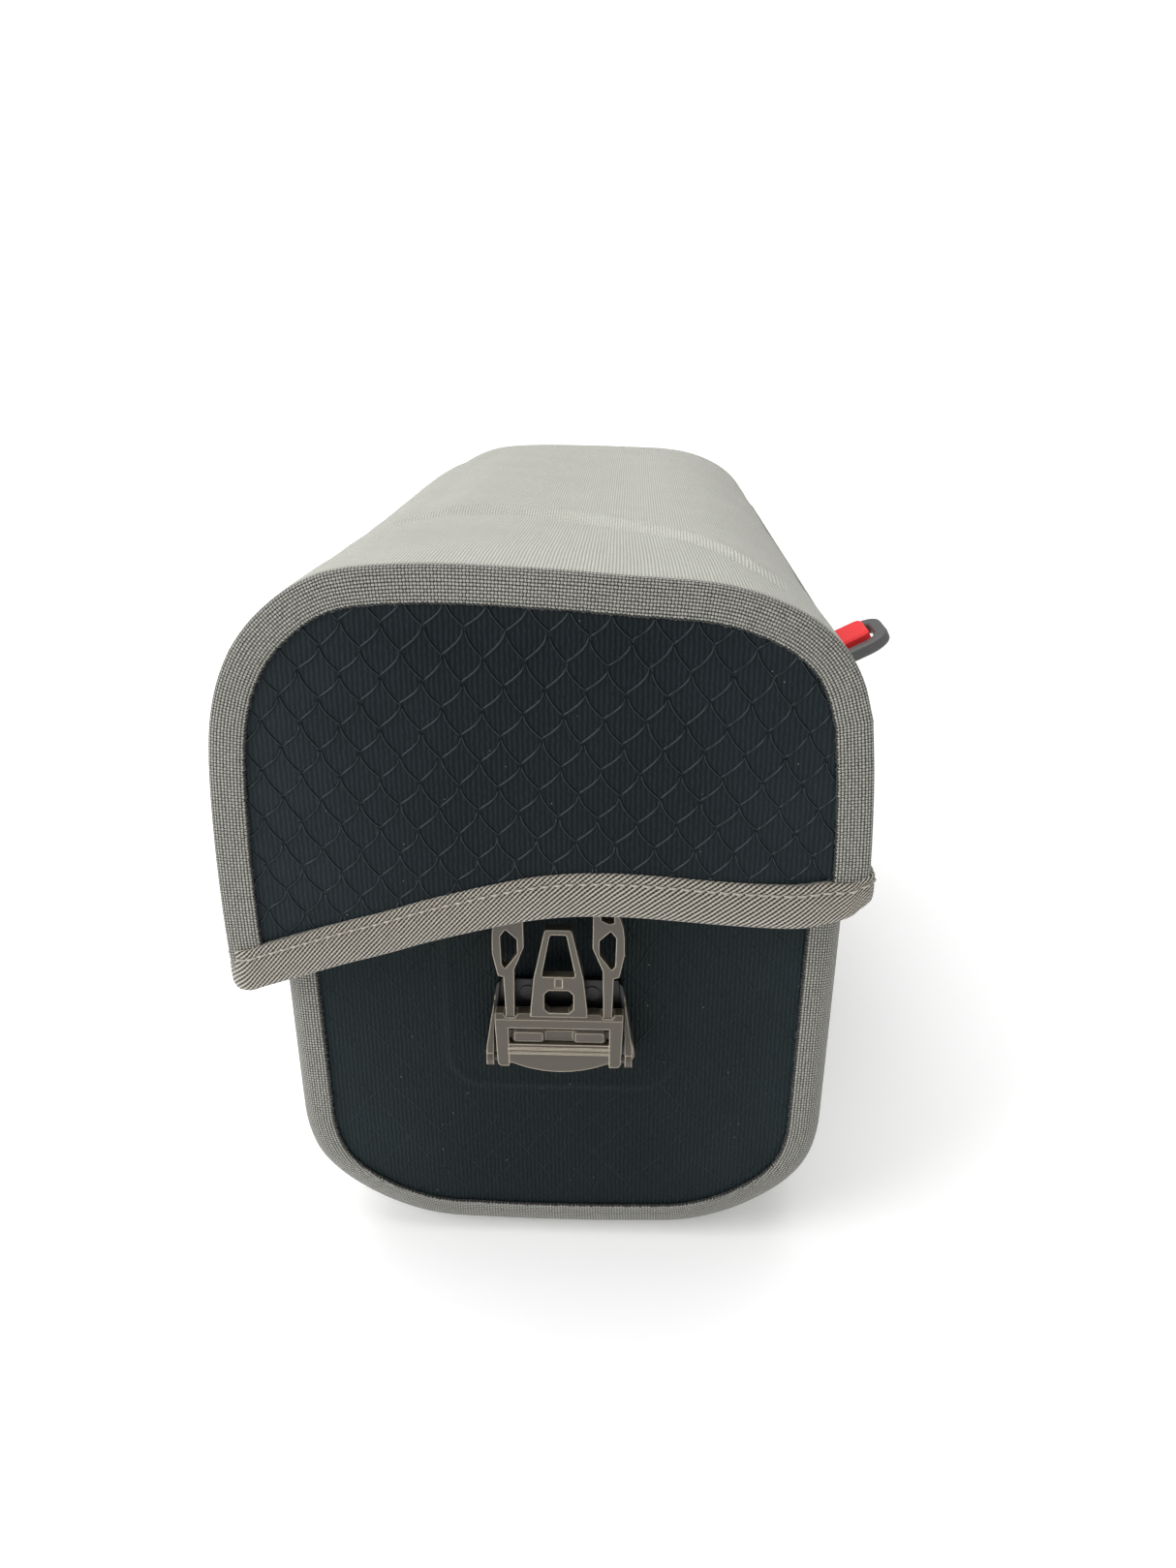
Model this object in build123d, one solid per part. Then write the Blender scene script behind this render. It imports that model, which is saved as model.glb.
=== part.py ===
"""A transverse saddle bag: a box-shaped body of coated fabric over plastic boards, under a hood-shaped lid.

The bag is long in Y. Its lid hinges on a fabric strip along the back (+X), where a quick-release hook
on a rail grips a bar of 10 mm behind the saddle. The lid's skirt hangs over the front (-X) and over both
ends. Each end has a side-release buckle: the pronged half swings on a pin in an anchor on the body, and
the socket half hangs inside the lid's skirt. The right end is at -Y and the left end is its mirror image.

Millimetres, +Z up, origin on the underside at the middle of the bag.
"""
from build123d import *
from math import cos, radians, sin, tan
import os

# Body
BODY_HALF_LENGTH = 154.0
BODY_HALF_WIDTH = 72.6          # where the bottom corner meets the wall
BODY_CORNER_R = 30.0
BODY_LEAN = 1.0                 # degrees that the long walls lean out
BODY_END_R = 8.0                # round between walls and ends
RIM_Z = 163.0
BODY_WINDOW_INSET = 10.0        # width of the shell's lip round an end panel
SKIN = 1.2                      # coated fabric
BOARD = (1.3, 3.3)              # depth of the boards under the outer face
LINER = (3.4, 4.2)
TAPE = 0.8                      # thickness of the edge binding
TAPE_DEPTH = 10.7               # how far the binding reaches from the edge

# Lid
LID_HALF_LENGTH = 168.0
LID_FRONT, LID_BACK, LID_TOP = -81.5, 76.8, 198.0
LID_R = 43.0
LID_END_R = 5.0
LID_WINDOW_INSET = 8.0
LID_LINER = (3.1, 3.9)
LID_BOARD = (1.3, 3.0)
LID_BOARD_ENDS = (-62.0, 150.0)
LID_EDGE = [(-100, 97), (-77, 94), (-53, 101), (-16, 113.2),
            (12, 116.2), (50, 114.6), (77, 119.8), (100, 125)]
HINGE_X, HINGE_Z = 76.5, 165.2
LID_BACK_EDGE_Z = 165.6
EAR_HALF_LENGTH = 156.0         # inside this, the lid has no back skirt

# Buckles, as drawn for the right end. Depths are distances from the middle of the bag in Y.
BUCKLE_X = 0.6
PANEL_DEPTH = 153.8
PATCH_DEPTH = PANEL_DEPTH + 0.6
ANCHOR_DEPTH = PATCH_DEPTH + 1.6
PIN_DEPTH, PIN_Z, PIN_R = 160.4, 68.2, 1.1
FRAME_DEPTHS = (157.7, 162.3)
PRONG_DEPTHS = (158.4, 161.6)
FRAME_HALF = 16.8
FRAME_TOP_Z = 82.0
PRONG_ROOT_X, PRONG_ROOT_Z, PRONG_ROOT_R = 12.7, 81.2, 1.3
PRONG_TIP_Z = 111.2
SOCKET_Z = (118.0, 146.0)
SOCKET_DEPTHS = (155.0, 162.9)
TAB_BAR_Z, TAB_BAR_DEPTH = 149.5, 161.1

# Mount
RAIL_Z = (102.0, 126.0)
RAIL_FACE_X = 77.5
RAIL_SCREWS_Y = (-118, -62, 62, 118)
RAIL_HALF = 132.0
HOOK_FACE_X = 80.6
HOOK_PLATE_HALF, HOOK_HALF = 50.0, 40.0
BAR_X, BAR_Z, BAR_R = 86.3, 111.0, 5.1
LEVER_X, LEVER_Z, LEVER_PIN_R = 91.5, 125.5, 1.6
GUARD_START, GUARD_RISE = (78.6, 129.6), 27.0       # degrees
GUARD_LENGTH, GUARD_HALF, SLOT_HALF = 36.0, 15.5, 10.0
STRAP_Z = (44.5, 69.5)

parts = {}


# ---------------------------------------------------------------- helpers
def across(face, half):
    """An XZ face drawn out the same distance to both sides of the middle."""
    return extrude(Plane.XZ * face, amount=half, both=True)


def slab(face, near, far):
    """An XZ face drawn out at the right end, between two depths."""
    return extrude(Plane.XZ.offset(near) * face, amount=far - near)


def bar_y(x, z, radius, near, far):
    """A round bar along Y at the right end."""
    return slab(Pos(x, z) * Circle(radius), near, far)


def block(low, high):
    """A box between two corners."""
    size = [b - a for a, b in zip(low, high)]
    return Pos(*[(a + b) / 2 for a, b in zip(low, high)]) * Box(*size)


def both_ends(name, shape):
    """Keeps a shape of the right end, and its mirror image at the left end."""
    parts[name + "_right"] = shape
    parts[name + "_left"] = mirror(shape, about=Plane.XZ)


def round_ends(face, half, radius, open_z):
    """Draws a face out both ways and rounds its end edges, apart from the straight one at open_z."""
    solid = across(face, half)
    edges = [e for e in solid.edges() if abs(abs(e.center().Y) - half) < 0.01]
    edges = [e for e in edges if abs(e.center().Z - open_z) > 0.01]
    return fillet(edges, radius)


# ---------------------------------------------------------------- body
def body_outline(inset, top):
    """The body's section, drawn in by inset, with tangent walls above round corners."""
    lean = radians(BODY_LEAN)
    r = BODY_CORNER_R - inset
    cx = BODY_HALF_WIDTH - BODY_CORNER_R
    wall = (cx + r * cos(lean), BODY_CORNER_R - r * sin(lean))
    rim = (wall[0] + (top - wall[1]) * tan(lean), top)
    half = Line((0, inset), (cx, inset)) + CenterArc((cx, BODY_CORNER_R), r, 270, 90 - BODY_LEAN)
    half += Line(wall, rim) + Line(rim, (0, top))
    return make_face(half + mirror(half, about=Plane.YZ))


def body_block(inset, top):
    radius = max(BODY_END_R - inset, 0.6)
    return round_ends(body_outline(inset, top), BODY_HALF_LENGTH - inset, radius, top)


def make_body():
    above = RIM_Z + 10
    outer, inner = body_block(0, RIM_Z), body_block(SKIN, above)
    window = body_outline(BODY_WINDOW_INSET, above)
    windows = across(window, BODY_HALF_LENGTH + 5) - across(window, BODY_HALF_LENGTH - 10)
    parts["body_shell"] = outer - inner - windows
    panel_face = body_outline(BODY_WINDOW_INSET, RIM_Z)
    both_ends("end_panel", slab(panel_face, PANEL_DEPTH - 1.0, PANEL_DEPTH))

    boards = body_block(BOARD[0], 150) - body_block(BOARD[1], above)
    middle = BODY_HALF_LENGTH - 12
    parts["base_board"] = boards & block((-42, -middle, 0), (42, middle, 10))
    parts["front_board"] = boards & block((-90, -middle, 36), (-60, middle, 150))
    parts["back_board"] = boards & block((60, -middle, 36), (90, middle, 150))
    end_face = body_outline(12, 150) & Pos(0, 100) * Rectangle(130, 172)
    both_ends("end_board", slab(end_face, BODY_HALF_LENGTH - BOARD[1], BODY_HALF_LENGTH - BOARD[0]))
    parts["liner"] = body_block(LINER[0], RIM_Z) - body_block(LINER[1], above)

    channel = body_block(-TAPE, RIM_Z + TAPE) - body_block(LINER[1] + TAPE, above)
    stack = body_block(0, RIM_Z) - body_block(LINER[1], above)
    parts["mouth_binding"] = channel & block((-90, -170, RIM_Z - TAPE_DEPTH), (90, 170, above)) - stack


# ---------------------------------------------------------------- lid
def lid_outline(inset, low):
    """The lid's section, drawn in by inset, open-ended down to low."""
    r = LID_R - inset
    front, back, top = LID_FRONT + inset, LID_BACK - inset, LID_TOP - inset
    outline = Line((front, low), (front, top - r)) + CenterArc((front + r, top - r), r, 180, -90)
    outline += Line((front + r, top), (back - r, top)) + CenterArc((back - r, top - r), r, 90, -90)
    outline += Line((back, top - r), (back, low)) + Line((back, low), (front, low))
    return make_face(outline)


def lid_block(inset, low):
    return round_ends(lid_outline(inset, low), LID_HALF_LENGTH - inset, max(LID_END_R - inset, 0.6), low)


def edge_band(low, high):
    """Everything between two copies of the lid's lower edge, shifted up by low and high."""
    under = Spline([(x, z + low) for x, z in LID_EDGE])
    over = Spline([(x, z + high) for x, z in LID_EDGE])
    sides = [Line(curve_a @ t, curve_b @ t) for t in (0, 1) for curve_a, curve_b in [(under, over)]]
    return across(make_face(Curve() + [under, over] + sides), 200)


def back_gap(low):
    """The lid has no skirt along the back, where the hinge and the hooks are."""
    return block((55, -EAR_HALF_LENGTH, low), (90, EAR_HALF_LENGTH, LID_BACK_EDGE_Z))


def make_lid():
    low = 70
    below = edge_band(-60, 0)
    skirt_space = below + back_gap(low)
    window = lid_outline(LID_WINDOW_INSET, low - 5)
    windows = across(window, LID_HALF_LENGTH + 5) - across(window, LID_HALF_LENGTH - 8)
    hood = lid_block(0, low) - lid_block(SKIN, low - 5)
    parts["lid_shell"] = hood - windows - skirt_space
    panel = slab(lid_outline(LID_WINDOW_INSET, low), LID_HALF_LENGTH - SKIN, LID_HALF_LENGTH - 0.2)
    both_ends("lid_panel", panel - below)
    liner = lid_block(LID_LINER[0], low) - lid_block(LID_LINER[1], low - 5)
    parts["lid_liner"] = liner - skirt_space
    flat_x = (LID_FRONT + LID_R + 0.5, LID_BACK - LID_R - 0.5)
    board_low = (flat_x[0], LID_BOARD_ENDS[0], LID_TOP - LID_BOARD[1])
    board = block(board_low, (flat_x[1], LID_BOARD_ENDS[1], LID_TOP - LID_BOARD[0]))
    parts["lid_board"] = fillet(board.edges().filter_by(Axis.Z), 12)
    fat = lid_block(-TAPE, low) - lid_block(LID_LINER[1] + TAPE, low - 5)
    wall = lid_block(0, low) - lid_block(LID_LINER[1], low - 5) - below
    tape = (fat & edge_band(-TAPE, TAPE_DEPTH)) - wall
    parts["lid_binding"] = tape - back_gap(low)


def make_hinge():
    """The fabric strip of the hinge: its lower half lies on the body and its upper half on the lid."""
    lower = body_block(-2 * TAPE, RIM_Z + 1.4) - body_block(-TAPE, RIM_Z + 20)
    parts["hinge_strip"] = lower & block((70, -145, 146), (90, 145, RIM_Z + 1.4))
    upper = lid_block(-TAPE, 70) - lid_block(0, 60)
    parts["lid_hinge_flap"] = upper & block((60, -145, LID_BACK_EDGE_Z + 0.2), (90, 145, 178))


# ---------------------------------------------------------------- buckles
def trapezoid(low_half, high_half, low_z, high_z, corner):
    """A trapezoid about the buckle's middle, with round corners."""
    points = [(-low_half, low_z), (low_half, low_z), (high_half, high_z), (-high_half, high_z)]
    face = make_face(Polyline(*points, close=True))
    return Pos(BUCKLE_X, 0) * fillet(face.vertices(), corner)


def make_anchor():
    """The anchor plate on its patch, with side flanges that carry the buckle's pin."""
    patch = Pos(BUCKLE_X, 87) * RectangleRounded(63, 66, 10)
    patch = slab(patch, PANEL_DEPTH, PATCH_DEPTH)
    plate = trapezoid(20.2, 16.4, 65.6, 89.4, 1.8)
    rim = plate - trapezoid(18.8, 14.9, 60, 95, 0.5)
    anchor = slab(plate, PATCH_DEPTH, ANCHOR_DEPTH) + slab(rim, ANCHOR_DEPTH, ANCHOR_DEPTH + 1.4)
    foot, low, tip = 0.2 - ANCHOR_DEPTH, PIN_Z - 2.0, (-PIN_DEPTH - 1.3, PIN_Z + 1.9)
    side = [(foot, low - 0.4), (-PIN_DEPTH, low), tip, (-ANCHOR_DEPTH - 1.4, 87), (foot, 87)]
    side = make_face(Polyline(*side, close=True)) + Pos(-PIN_DEPTH, PIN_Z) * Circle(2.2)
    envelope = slab(trapezoid(20.2, 16.4, 65.6, 89.4, 1.8), ANCHOR_DEPTH - 1, PIN_DEPTH + 4)
    for x in (-18.25, 18.25):
        ear = extrude(Plane.YZ.offset(BUCKLE_X + x) * side, amount=0.95, both=True)
        anchor += ear & envelope
    pin = Pos(BUCKLE_X, -PIN_DEPTH, PIN_Z) * Rot(0, 90, 0) * Cylinder(PIN_R, 38.2)
    anchor -= pin
    both_ends("buckle_pin", pin)

    rivets = []
    for x, z in ((-8.5, 85.5), (8.5, 85.5), (-8.5, 73), (8.5, 73)):
        shank = bar_y(BUCKLE_X + x, z, 1.2, BODY_HALF_LENGTH - BOARD[1], ANCHOR_DEPTH)
        rivets.append(shank + bar_y(BUCKLE_X + x, z, 2.0, ANCHOR_DEPTH, ANCHOR_DEPTH + 0.3))
    rivets = Compound(rivets)
    both_ends("anchor_rivets", rivets)
    both_ends("buckle_patch", patch - rivets)
    both_ends("buckle_anchor", anchor - rivets)
    for name in ("end_panel", "end_board"):
        both_ends(name, parts[name + "_right"] - rivets)


def frame_face():
    """The buckle's frame with its two rails, and its lower plate with a bowed lower edge."""
    low, high = 66.6, FRAME_TOP_Z
    outline = [(-FRAME_HALF, high), (FRAME_HALF, high), (FRAME_HALF - 0.6, low), (0.6 - FRAME_HALF, low)]
    outline = make_face(Polyline(*outline, close=True))
    lower = outline.vertices().filter_by(lambda v: v.Y < 70)
    frame = fillet(lower, 1.2) - Pos(0, 68.3) * Rectangle(26.4, 20)
    plate = make_face(Polyline((-13.4, 73.2), (-13.4, 68), (13.4, 68), (13.4, 73.2), close=True))
    arc = ThreePointArc((-13.4, 68), (0, 64.9), (13.4, 68))
    bow = make_face(arc + Line((13.4, 68), (-13.4, 68)))
    return frame, plate + bow


def web_bar(near, far):
    """The bar in the frame's slot: two rounded pads and a lower piece between them."""
    bar = slab(Pos(BUCKLE_X, 75.2) * Rectangle(26.8, 2.2), near + 1.2, far - 2.2)
    bar += slab(Pos(BUCKLE_X, 75.3) * Rectangle(8.4, 3.0), near + 1.2, far - 1.5)
    for x in (-8, 8):
        pad = slab(Pos(BUCKLE_X + x, 75.4) * RectangleRounded(8.8, 4.0, 1.2), near + 1.2, far - 0.4)
        bar += chamfer(pad.faces().sort_by(Axis.Y)[0].edges(), 0.7)
    return bar


def guide_face():
    """The A-shaped guide between the prongs, with its two windows."""
    outline = [(-7.4, 80), (-7.3, 84), (-6.4, 93), (-3.4, 107), (3.4, 107), (6.4, 93), (7.3, 84), (7.4, 80)]
    face = fillet(make_face(Polyline(*outline, close=True)).vertices().filter_by(lambda v: v.Y > 100), 0.9)
    low_window = chamfer((Pos(0, 86) * Rectangle(7.6, 6.8)).vertices(), 1.2)
    window = make_face(Polyline((-4.4, 93.4), (4.4, 93.4), (2.1, 105.6), (-2.1, 105.6), close=True))
    return face - low_window - fillet(window.vertices(), 0.5)


def prong_face():
    """The prong at +x: a slim arm on a round root, and a barbed head with a window and a notched top."""
    top = PRONG_TIP_Z
    root = Pos(PRONG_ROOT_X, PRONG_ROOT_Z) * Circle(PRONG_ROOT_R)
    arm = Polyline((11.6, 81.2), (13.8, 81.2), (14.2, 93.2), (15.6, 93.6), (16.9, 100), close=False)
    head = Spline((16.9, 100), (16.8, 105.5), (15.3, top), tangents=[(0, 1), (-0.6, 1)])
    inner = Polyline((15.3, top), (8.9, top), (8.8, 102), (11.4, 95.4), (11.6, 81.2), close=False)
    window = [(13.7, 95.6), (14.6, 96.8), (14.8, 105), (13.4, 107), (10.5, 104.2), (10.5, 100)]
    window = fillet(make_face(Polyline(*window, close=True)).vertices(), 0.35)
    notch = [(10.9, top + 1), (10.9, 110), (13.0, 108.9), (14.3, 109.3), (14.2, top + 1)]
    return root + make_face(arm + head + inner) - window - make_face(Polyline(*notch, close=True))


def make_buckle():
    shift = Pos(BUCKLE_X, 0)
    frame, plate = [shift * face for face in frame_face()]
    near, far = FRAME_DEPTHS
    body = slab(frame, near, far)
    top_edge = body.edges().filter_by(Axis.X).sort_by(lambda e: e.center().Z - e.center().Y)[-1]
    body = chamfer(top_edge, 1.2) + slab(plate, near + 1.0, far - 0.2) + web_bar(near, far)
    barrel = Pos(BUCKLE_X, -PIN_DEPTH, PIN_Z) * Rot(0, 90, 0) * Cylinder(1.7, 2 * FRAME_HALF - 1.0)
    body += barrel + slab(shift * guide_face(), *PRONG_DEPTHS)
    for z in (72.0, 70.7):
        body += slab(shift * (Pos(0, z) * Rectangle(26.6, 0.5)), far - 1, far + 0.25)
    body -= slab(shift * (Pos(0, 91.5) * Rectangle(1.9, 2.6)), PRONG_DEPTHS[1] - 0.45, far)
    pin_hole = Pos(BUCKLE_X, -PIN_DEPTH, PIN_Z) * Rot(0, 90, 0) * Cylinder(PIN_R + 0.06, 60)
    for side in (-1, 1):
        root = bar_y(BUCKLE_X + side * PRONG_ROOT_X, PRONG_ROOT_Z, PRONG_ROOT_R + 0.1, near + 0.5, far - 0.5)
        mouth = Pos(BUCKLE_X + side * PRONG_ROOT_X, PRONG_ROOT_Z + 1.6) * Rectangle(3.6, 2.4)
        body -= root + slab(mouth, near + 0.5, far - 0.5)
    below = block((-30, -PIN_DEPTH - 10, 55), (30, -PIN_DEPTH + 10, PIN_Z - 3.4))
    both_ends("buckle_frame", body - pin_hole - below)
    prong = slab(shift * prong_face(), *PRONG_DEPTHS)
    both_ends("prong_back", prong)
    both_ends("prong_front", slab(shift * mirror(prong_face(), about=Plane.YZ), *PRONG_DEPTHS))


def make_socket():
    """The socket half: a flat box open below and at both sides, hanging by a bar from a webbing tab."""
    near, far = SOCKET_DEPTHS
    low, high = SOCKET_Z
    mid = (low + high) / 2
    outline = Pos(BUCKLE_X, mid) * RectangleRounded(36, high - low, 3)
    shell = slab(outline, near, far)
    cavity = slab(Pos(BUCKLE_X, mid - 3) * Rectangle(30, high - low), near + 2.0, far - 1.0)
    side_windows = slab(Pos(BUCKLE_X, mid + 1) * Rectangle(60, 11), near + 2.0, far - 1.0)
    arm_z = (high - 1, TAB_BAR_Z + 1.7)
    arms = Pos(BUCKLE_X, sum(arm_z) / 2) * (Rectangle(34, arm_z[1] - arm_z[0]) - Rectangle(27, 20))
    arms = slab(arms, TAB_BAR_DEPTH - 1.7, TAB_BAR_DEPTH + 1.7)
    bar = Pos(BUCKLE_X, -TAB_BAR_DEPTH, TAB_BAR_Z) * Rot(0, 90, 0) * Cylinder(1.6, 30)
    both_ends("socket", shell - cavity - side_windows + arms + bar)
    loop = Pos(-TAB_BAR_DEPTH, TAB_BAR_Z) * (Circle(2.9) - Circle(1.7))
    plies = Pos(-(TAB_BAR_DEPTH + 2.0), TAB_BAR_Z + 15) * Rectangle(1.8, 28)
    plies -= Pos(-TAB_BAR_DEPTH, TAB_BAR_Z) * Circle(1.7)
    tab = extrude(Plane.YZ.offset(BUCKLE_X) * (loop + plies), amount=12.6, both=True)
    both_ends("socket_tab", tab)


# ---------------------------------------------------------------- mount
def make_rail():
    low, high = RAIL_Z
    rail = block((70, -RAIL_HALF, low), (RAIL_FACE_X, RAIL_HALF, high)) - body_block(0, RIM_Z)
    edges = rail.edges().filter_by(Axis.Y).group_by(Axis.X)[-1]
    rail = chamfer(edges, 0.6)
    strip = block((60, 5 - RAIL_HALF, RAIL_Z[0] + 3), (90, RAIL_HALF - 5, RAIL_Z[1] - 3))
    strip &= body_block(LINER[1], RIM_Z) - body_block(LINER[1] + 2, RIM_Z + 10)
    screws, nuts = [], []
    for y in RAIL_SCREWS_Y:
        axis = Pos(0, y, sum(RAIL_Z) / 2) * Rot(0, 90, 0)
        head = Pos(RAIL_FACE_X + 0.9, 0, 0) * axis * Cylinder(3.5, 1.8)
        socket = Pos(RAIL_FACE_X + 1.5, 0, 0) * axis * extrude(RegularPolygon(1.5, 6), amount=1)
        shank = Pos((RAIL_FACE_X + 64) / 2, 0, 0) * axis * Cylinder(2.0, RAIL_FACE_X - 64)
        nut = Pos(64, 0, 0) * axis * extrude(RegularPolygon(4.0, 6), amount=3.3)
        screws.append(head - socket + shank)
        nuts.append(nut)
    screws = Compound(screws)
    parts["rail_screws"] = screws
    parts["rail_nuts"] = Compound(nuts) - screws
    parts["backing_strip"] = strip - screws
    parts["mount_rail"] = rail - screws
    for name in ("body_shell", "back_board", "liner"):
        parts[name] = parts[name] - screws


def arch_face():
    """The hook's arch: it drops over the bar and is open below."""
    arch = Pos(BAR_X, BAR_Z) * Circle(9.3)
    fill = [(HOOK_FACE_X - 1, BAR_Z - 7), (BAR_X, BAR_Z - 7), (BAR_X + 9.3, BAR_Z)]
    fill.append((BAR_X + 5, BAR_Z + 7.8))
    fill += [(HOOK_FACE_X - 1, BAR_Z + 14)]
    mouth = Pos(BAR_X, BAR_Z) * Circle(BAR_R) + Pos(BAR_X, BAR_Z - 10) * Rectangle(2 * BAR_R, 20)
    under = Pos(BAR_X + 5, BAR_Z - 12) * Rectangle(20, 12)
    return arch + make_face(Polyline(*fill, close=True)) - mouth - under


def lug_face():
    """The lug that carries the lever's pin, above the arch."""
    top = (HOOK_FACE_X - 2, LEVER_Z + 4.9)
    fill = [(HOOK_FACE_X - 2, BAR_Z + 8), (BAR_X + 5, BAR_Z + 7.5), (LEVER_X + 4, LEVER_Z)]
    fill.append((LEVER_X, LEVER_Z + 3.8))
    return make_face(Polyline(*fill, top, close=True)) + Pos(LEVER_X, LEVER_Z) * Circle(4.0)


def guard_plane():
    """The plane of the guard: x runs out and up along it, y along the bag."""
    rise = radians(GUARD_RISE)
    x_dir = (cos(rise), 0, sin(rise))
    return Plane((GUARD_START[0], 0, GUARD_START[1]), x_dir=x_dir, z_dir=(-sin(rise), 0, cos(rise)))


def make_guard():
    """A rounded loop that rises outward round the lever's thumb tab."""
    outer = Pos(GUARD_LENGTH / 2, 0) * Rectangle(GUARD_LENGTH, 2 * GUARD_HALF)
    outer = fillet(outer.vertices().group_by(Axis.X)[-1], 9.5)
    inner = Pos((GUARD_LENGTH - 4.6) / 2 - 5, 0) * Rectangle(GUARD_LENGTH + 5.4, 2 * SLOT_HALF)
    inner = fillet(inner.vertices().group_by(Axis.X)[-1], 5.5)
    loop = extrude(guard_plane() * (outer - inner), amount=2.2, both=True)
    return fillet(loop.edges().filter_by(lambda e: e.center().X > HOOK_FACE_X + 3), 1.2)


def make_hook():
    body = slab(arch_face(), -HOOK_HALF, -SLOT_HALF) + slab(arch_face(), SLOT_HALF, HOOK_HALF)
    body += slab(lug_face(), -GUARD_HALF, -SLOT_HALF) + slab(lug_face(), SLOT_HALF, GUARD_HALF) + make_guard()
    plate_x = (RAIL_FACE_X + 0.1, HOOK_FACE_X)
    low, high = RAIL_Z[0] - 3.5, RAIL_Z[1] + 4.5
    body += block((plate_x[0], -HOOK_PLATE_HALF, low), (plate_x[1], HOOK_PLATE_HALF, high))
    body -= block((70, -HOOK_HALF - 5, RAIL_Z[0]), (plate_x[0], HOOK_HALF + 5, RAIL_Z[1] + 0.1))
    bridge = BAR_Z + BAR_R + 0.9
    body += block((HOOK_FACE_X - 0.5, -HOOK_HALF, bridge), (88.0, HOOK_HALF, bridge + 3.4))
    body += block((plate_x[0] - 1.0, -HOOK_PLATE_HALF, RAIL_Z[1] + 0.1), (plate_x[1], HOOK_PLATE_HALF, high))
    body += block((plate_x[0] - 1.0, -HOOK_PLATE_HALF, low), (plate_x[1], HOOK_PLATE_HALF, RAIL_Z[0] - 0.1))
    bore = bar_y(LEVER_X, LEVER_Z, LEVER_PIN_R, -GUARD_HALF - 5, GUARD_HALF + 5)
    pin = bar_y(LEVER_X, LEVER_Z, LEVER_PIN_R, -GUARD_HALF - 0.1, GUARD_HALF + 0.1)
    pin += bar_y(LEVER_X, LEVER_Z, 2.4, GUARD_HALF, GUARD_HALF + 0.8)
    pin += bar_y(LEVER_X, LEVER_Z, 2.4, -GUARD_HALF - 0.8, -GUARD_HALF)
    screws = []
    for y in (-45, 45):
        for z in (RAIL_Z[0] + 4, RAIL_Z[1] - 4):
            axis = Pos(0, y, z) * Rot(0, 90, 0)
            head = Pos(HOOK_FACE_X + 0.6, 0, 0) * axis * Cylinder(2.6, 1.2)
            cross = Rectangle(3, 0.6) + Rectangle(0.6, 3)
            head -= Pos(HOOK_FACE_X + 0.7, 0, 0) * axis * extrude(cross, amount=1)
            shank = Pos((HOOK_FACE_X + 75.5) / 2, 0, 0) * axis * Cylinder(1.25, HOOK_FACE_X - 75.5)
            screws.append(head + shank)
    screws = Compound(screws)
    parts["hook_body"] = body - bore - screws
    parts["hook_pin"] = pin
    parts["hook_screws"] = screws
    parts["mount_rail"] = parts["mount_rail"] - screws


def lever_face():
    """The release lever's side: a toe that shuts the hook's mouth, an arm, a barrel and a neck."""
    toe = [(91.9, -5.8), (84, -6.4), (83.4, -8.4), (86, -10.4), (94.4, -10.4), (96.0, -8)]
    neck = [(97.2, 0), (97.0, 15.6), (89.4, 12.6), (88.9, 0.6), (91.9, -2.6)]
    outline = [(x, BAR_Z + z) for x, z in toe] + [(x, LEVER_Z + z) for x, z in neck]
    return make_face(Polyline(*outline, close=True)) + Pos(LEVER_X, LEVER_Z) * Circle(3.0)


def make_lever():
    half = SLOT_HALF - 0.4
    tab = Pos(19.6, 0) * Rectangle(20.6, 2 * half)
    tab = fillet(tab.vertices().group_by(Axis.X)[-1], 3.0)
    plane = guard_plane().offset(0.8)
    tab = extrude(plane * tab, amount=3.8)
    top = [e for e in tab.edges() if abs(plane.to_local_coords(e.center()).Z - 3.8) < 0.01]
    tab = chamfer(top, 0.8)
    lever = slab(lever_face(), -half, half) + tab
    lever -= bar_y(LEVER_X, LEVER_Z, LEVER_PIN_R + 0.06, -GUARD_HALF, GUARD_HALF)
    lever -= bar_y(LEVER_X, LEVER_Z, 3.4, -3, 3)
    parts["hook_lever"] = lever
    coil = Pos(LEVER_X, 2.2, LEVER_Z) * Rot(90, 0, 0) * Helix(pitch=1.0, height=4.4, radius=2.45)
    parts["hook_spring"] = sweep(Plane(coil @ 0, z_dir=coil % 0) * Circle(0.36), path=coil)


def make_strap():
    """A strap for the seat post, closed flat on itself, in the tunnel of a patch on the back."""
    wall = body_block(0, RIM_Z)
    patch = block((70, -32, 38), (76.4, 32, 76)) - wall
    tunnel = block((70, -40, STRAP_Z[0] - 0.5), (75.4, 40, STRAP_Z[1] + 0.5)) - body_block(-0.05, RIM_Z)
    ring = Pos(75.6, 0) * Rot(0, 0, 90) * (SlotOverall(160, 4.2) - SlotOverall(157.6, 1.8))
    strap = extrude(Plane.XY.offset(STRAP_Z[0]) * ring, amount=STRAP_Z[1] - STRAP_Z[0])
    parts["post_strap"] = strap
    parts["strap_patch"] = fillet(patch.edges().filter_by(Axis.X), 4) - tunnel


make_body()
make_lid()
make_hinge()
make_anchor()
make_buckle()
make_socket()
make_rail()
make_hook()
make_lever()
make_strap()

os.makedirs("parts", exist_ok=True)
for name, shape in parts.items():
    export_step(shape, f"parts/{name}.step")
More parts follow.
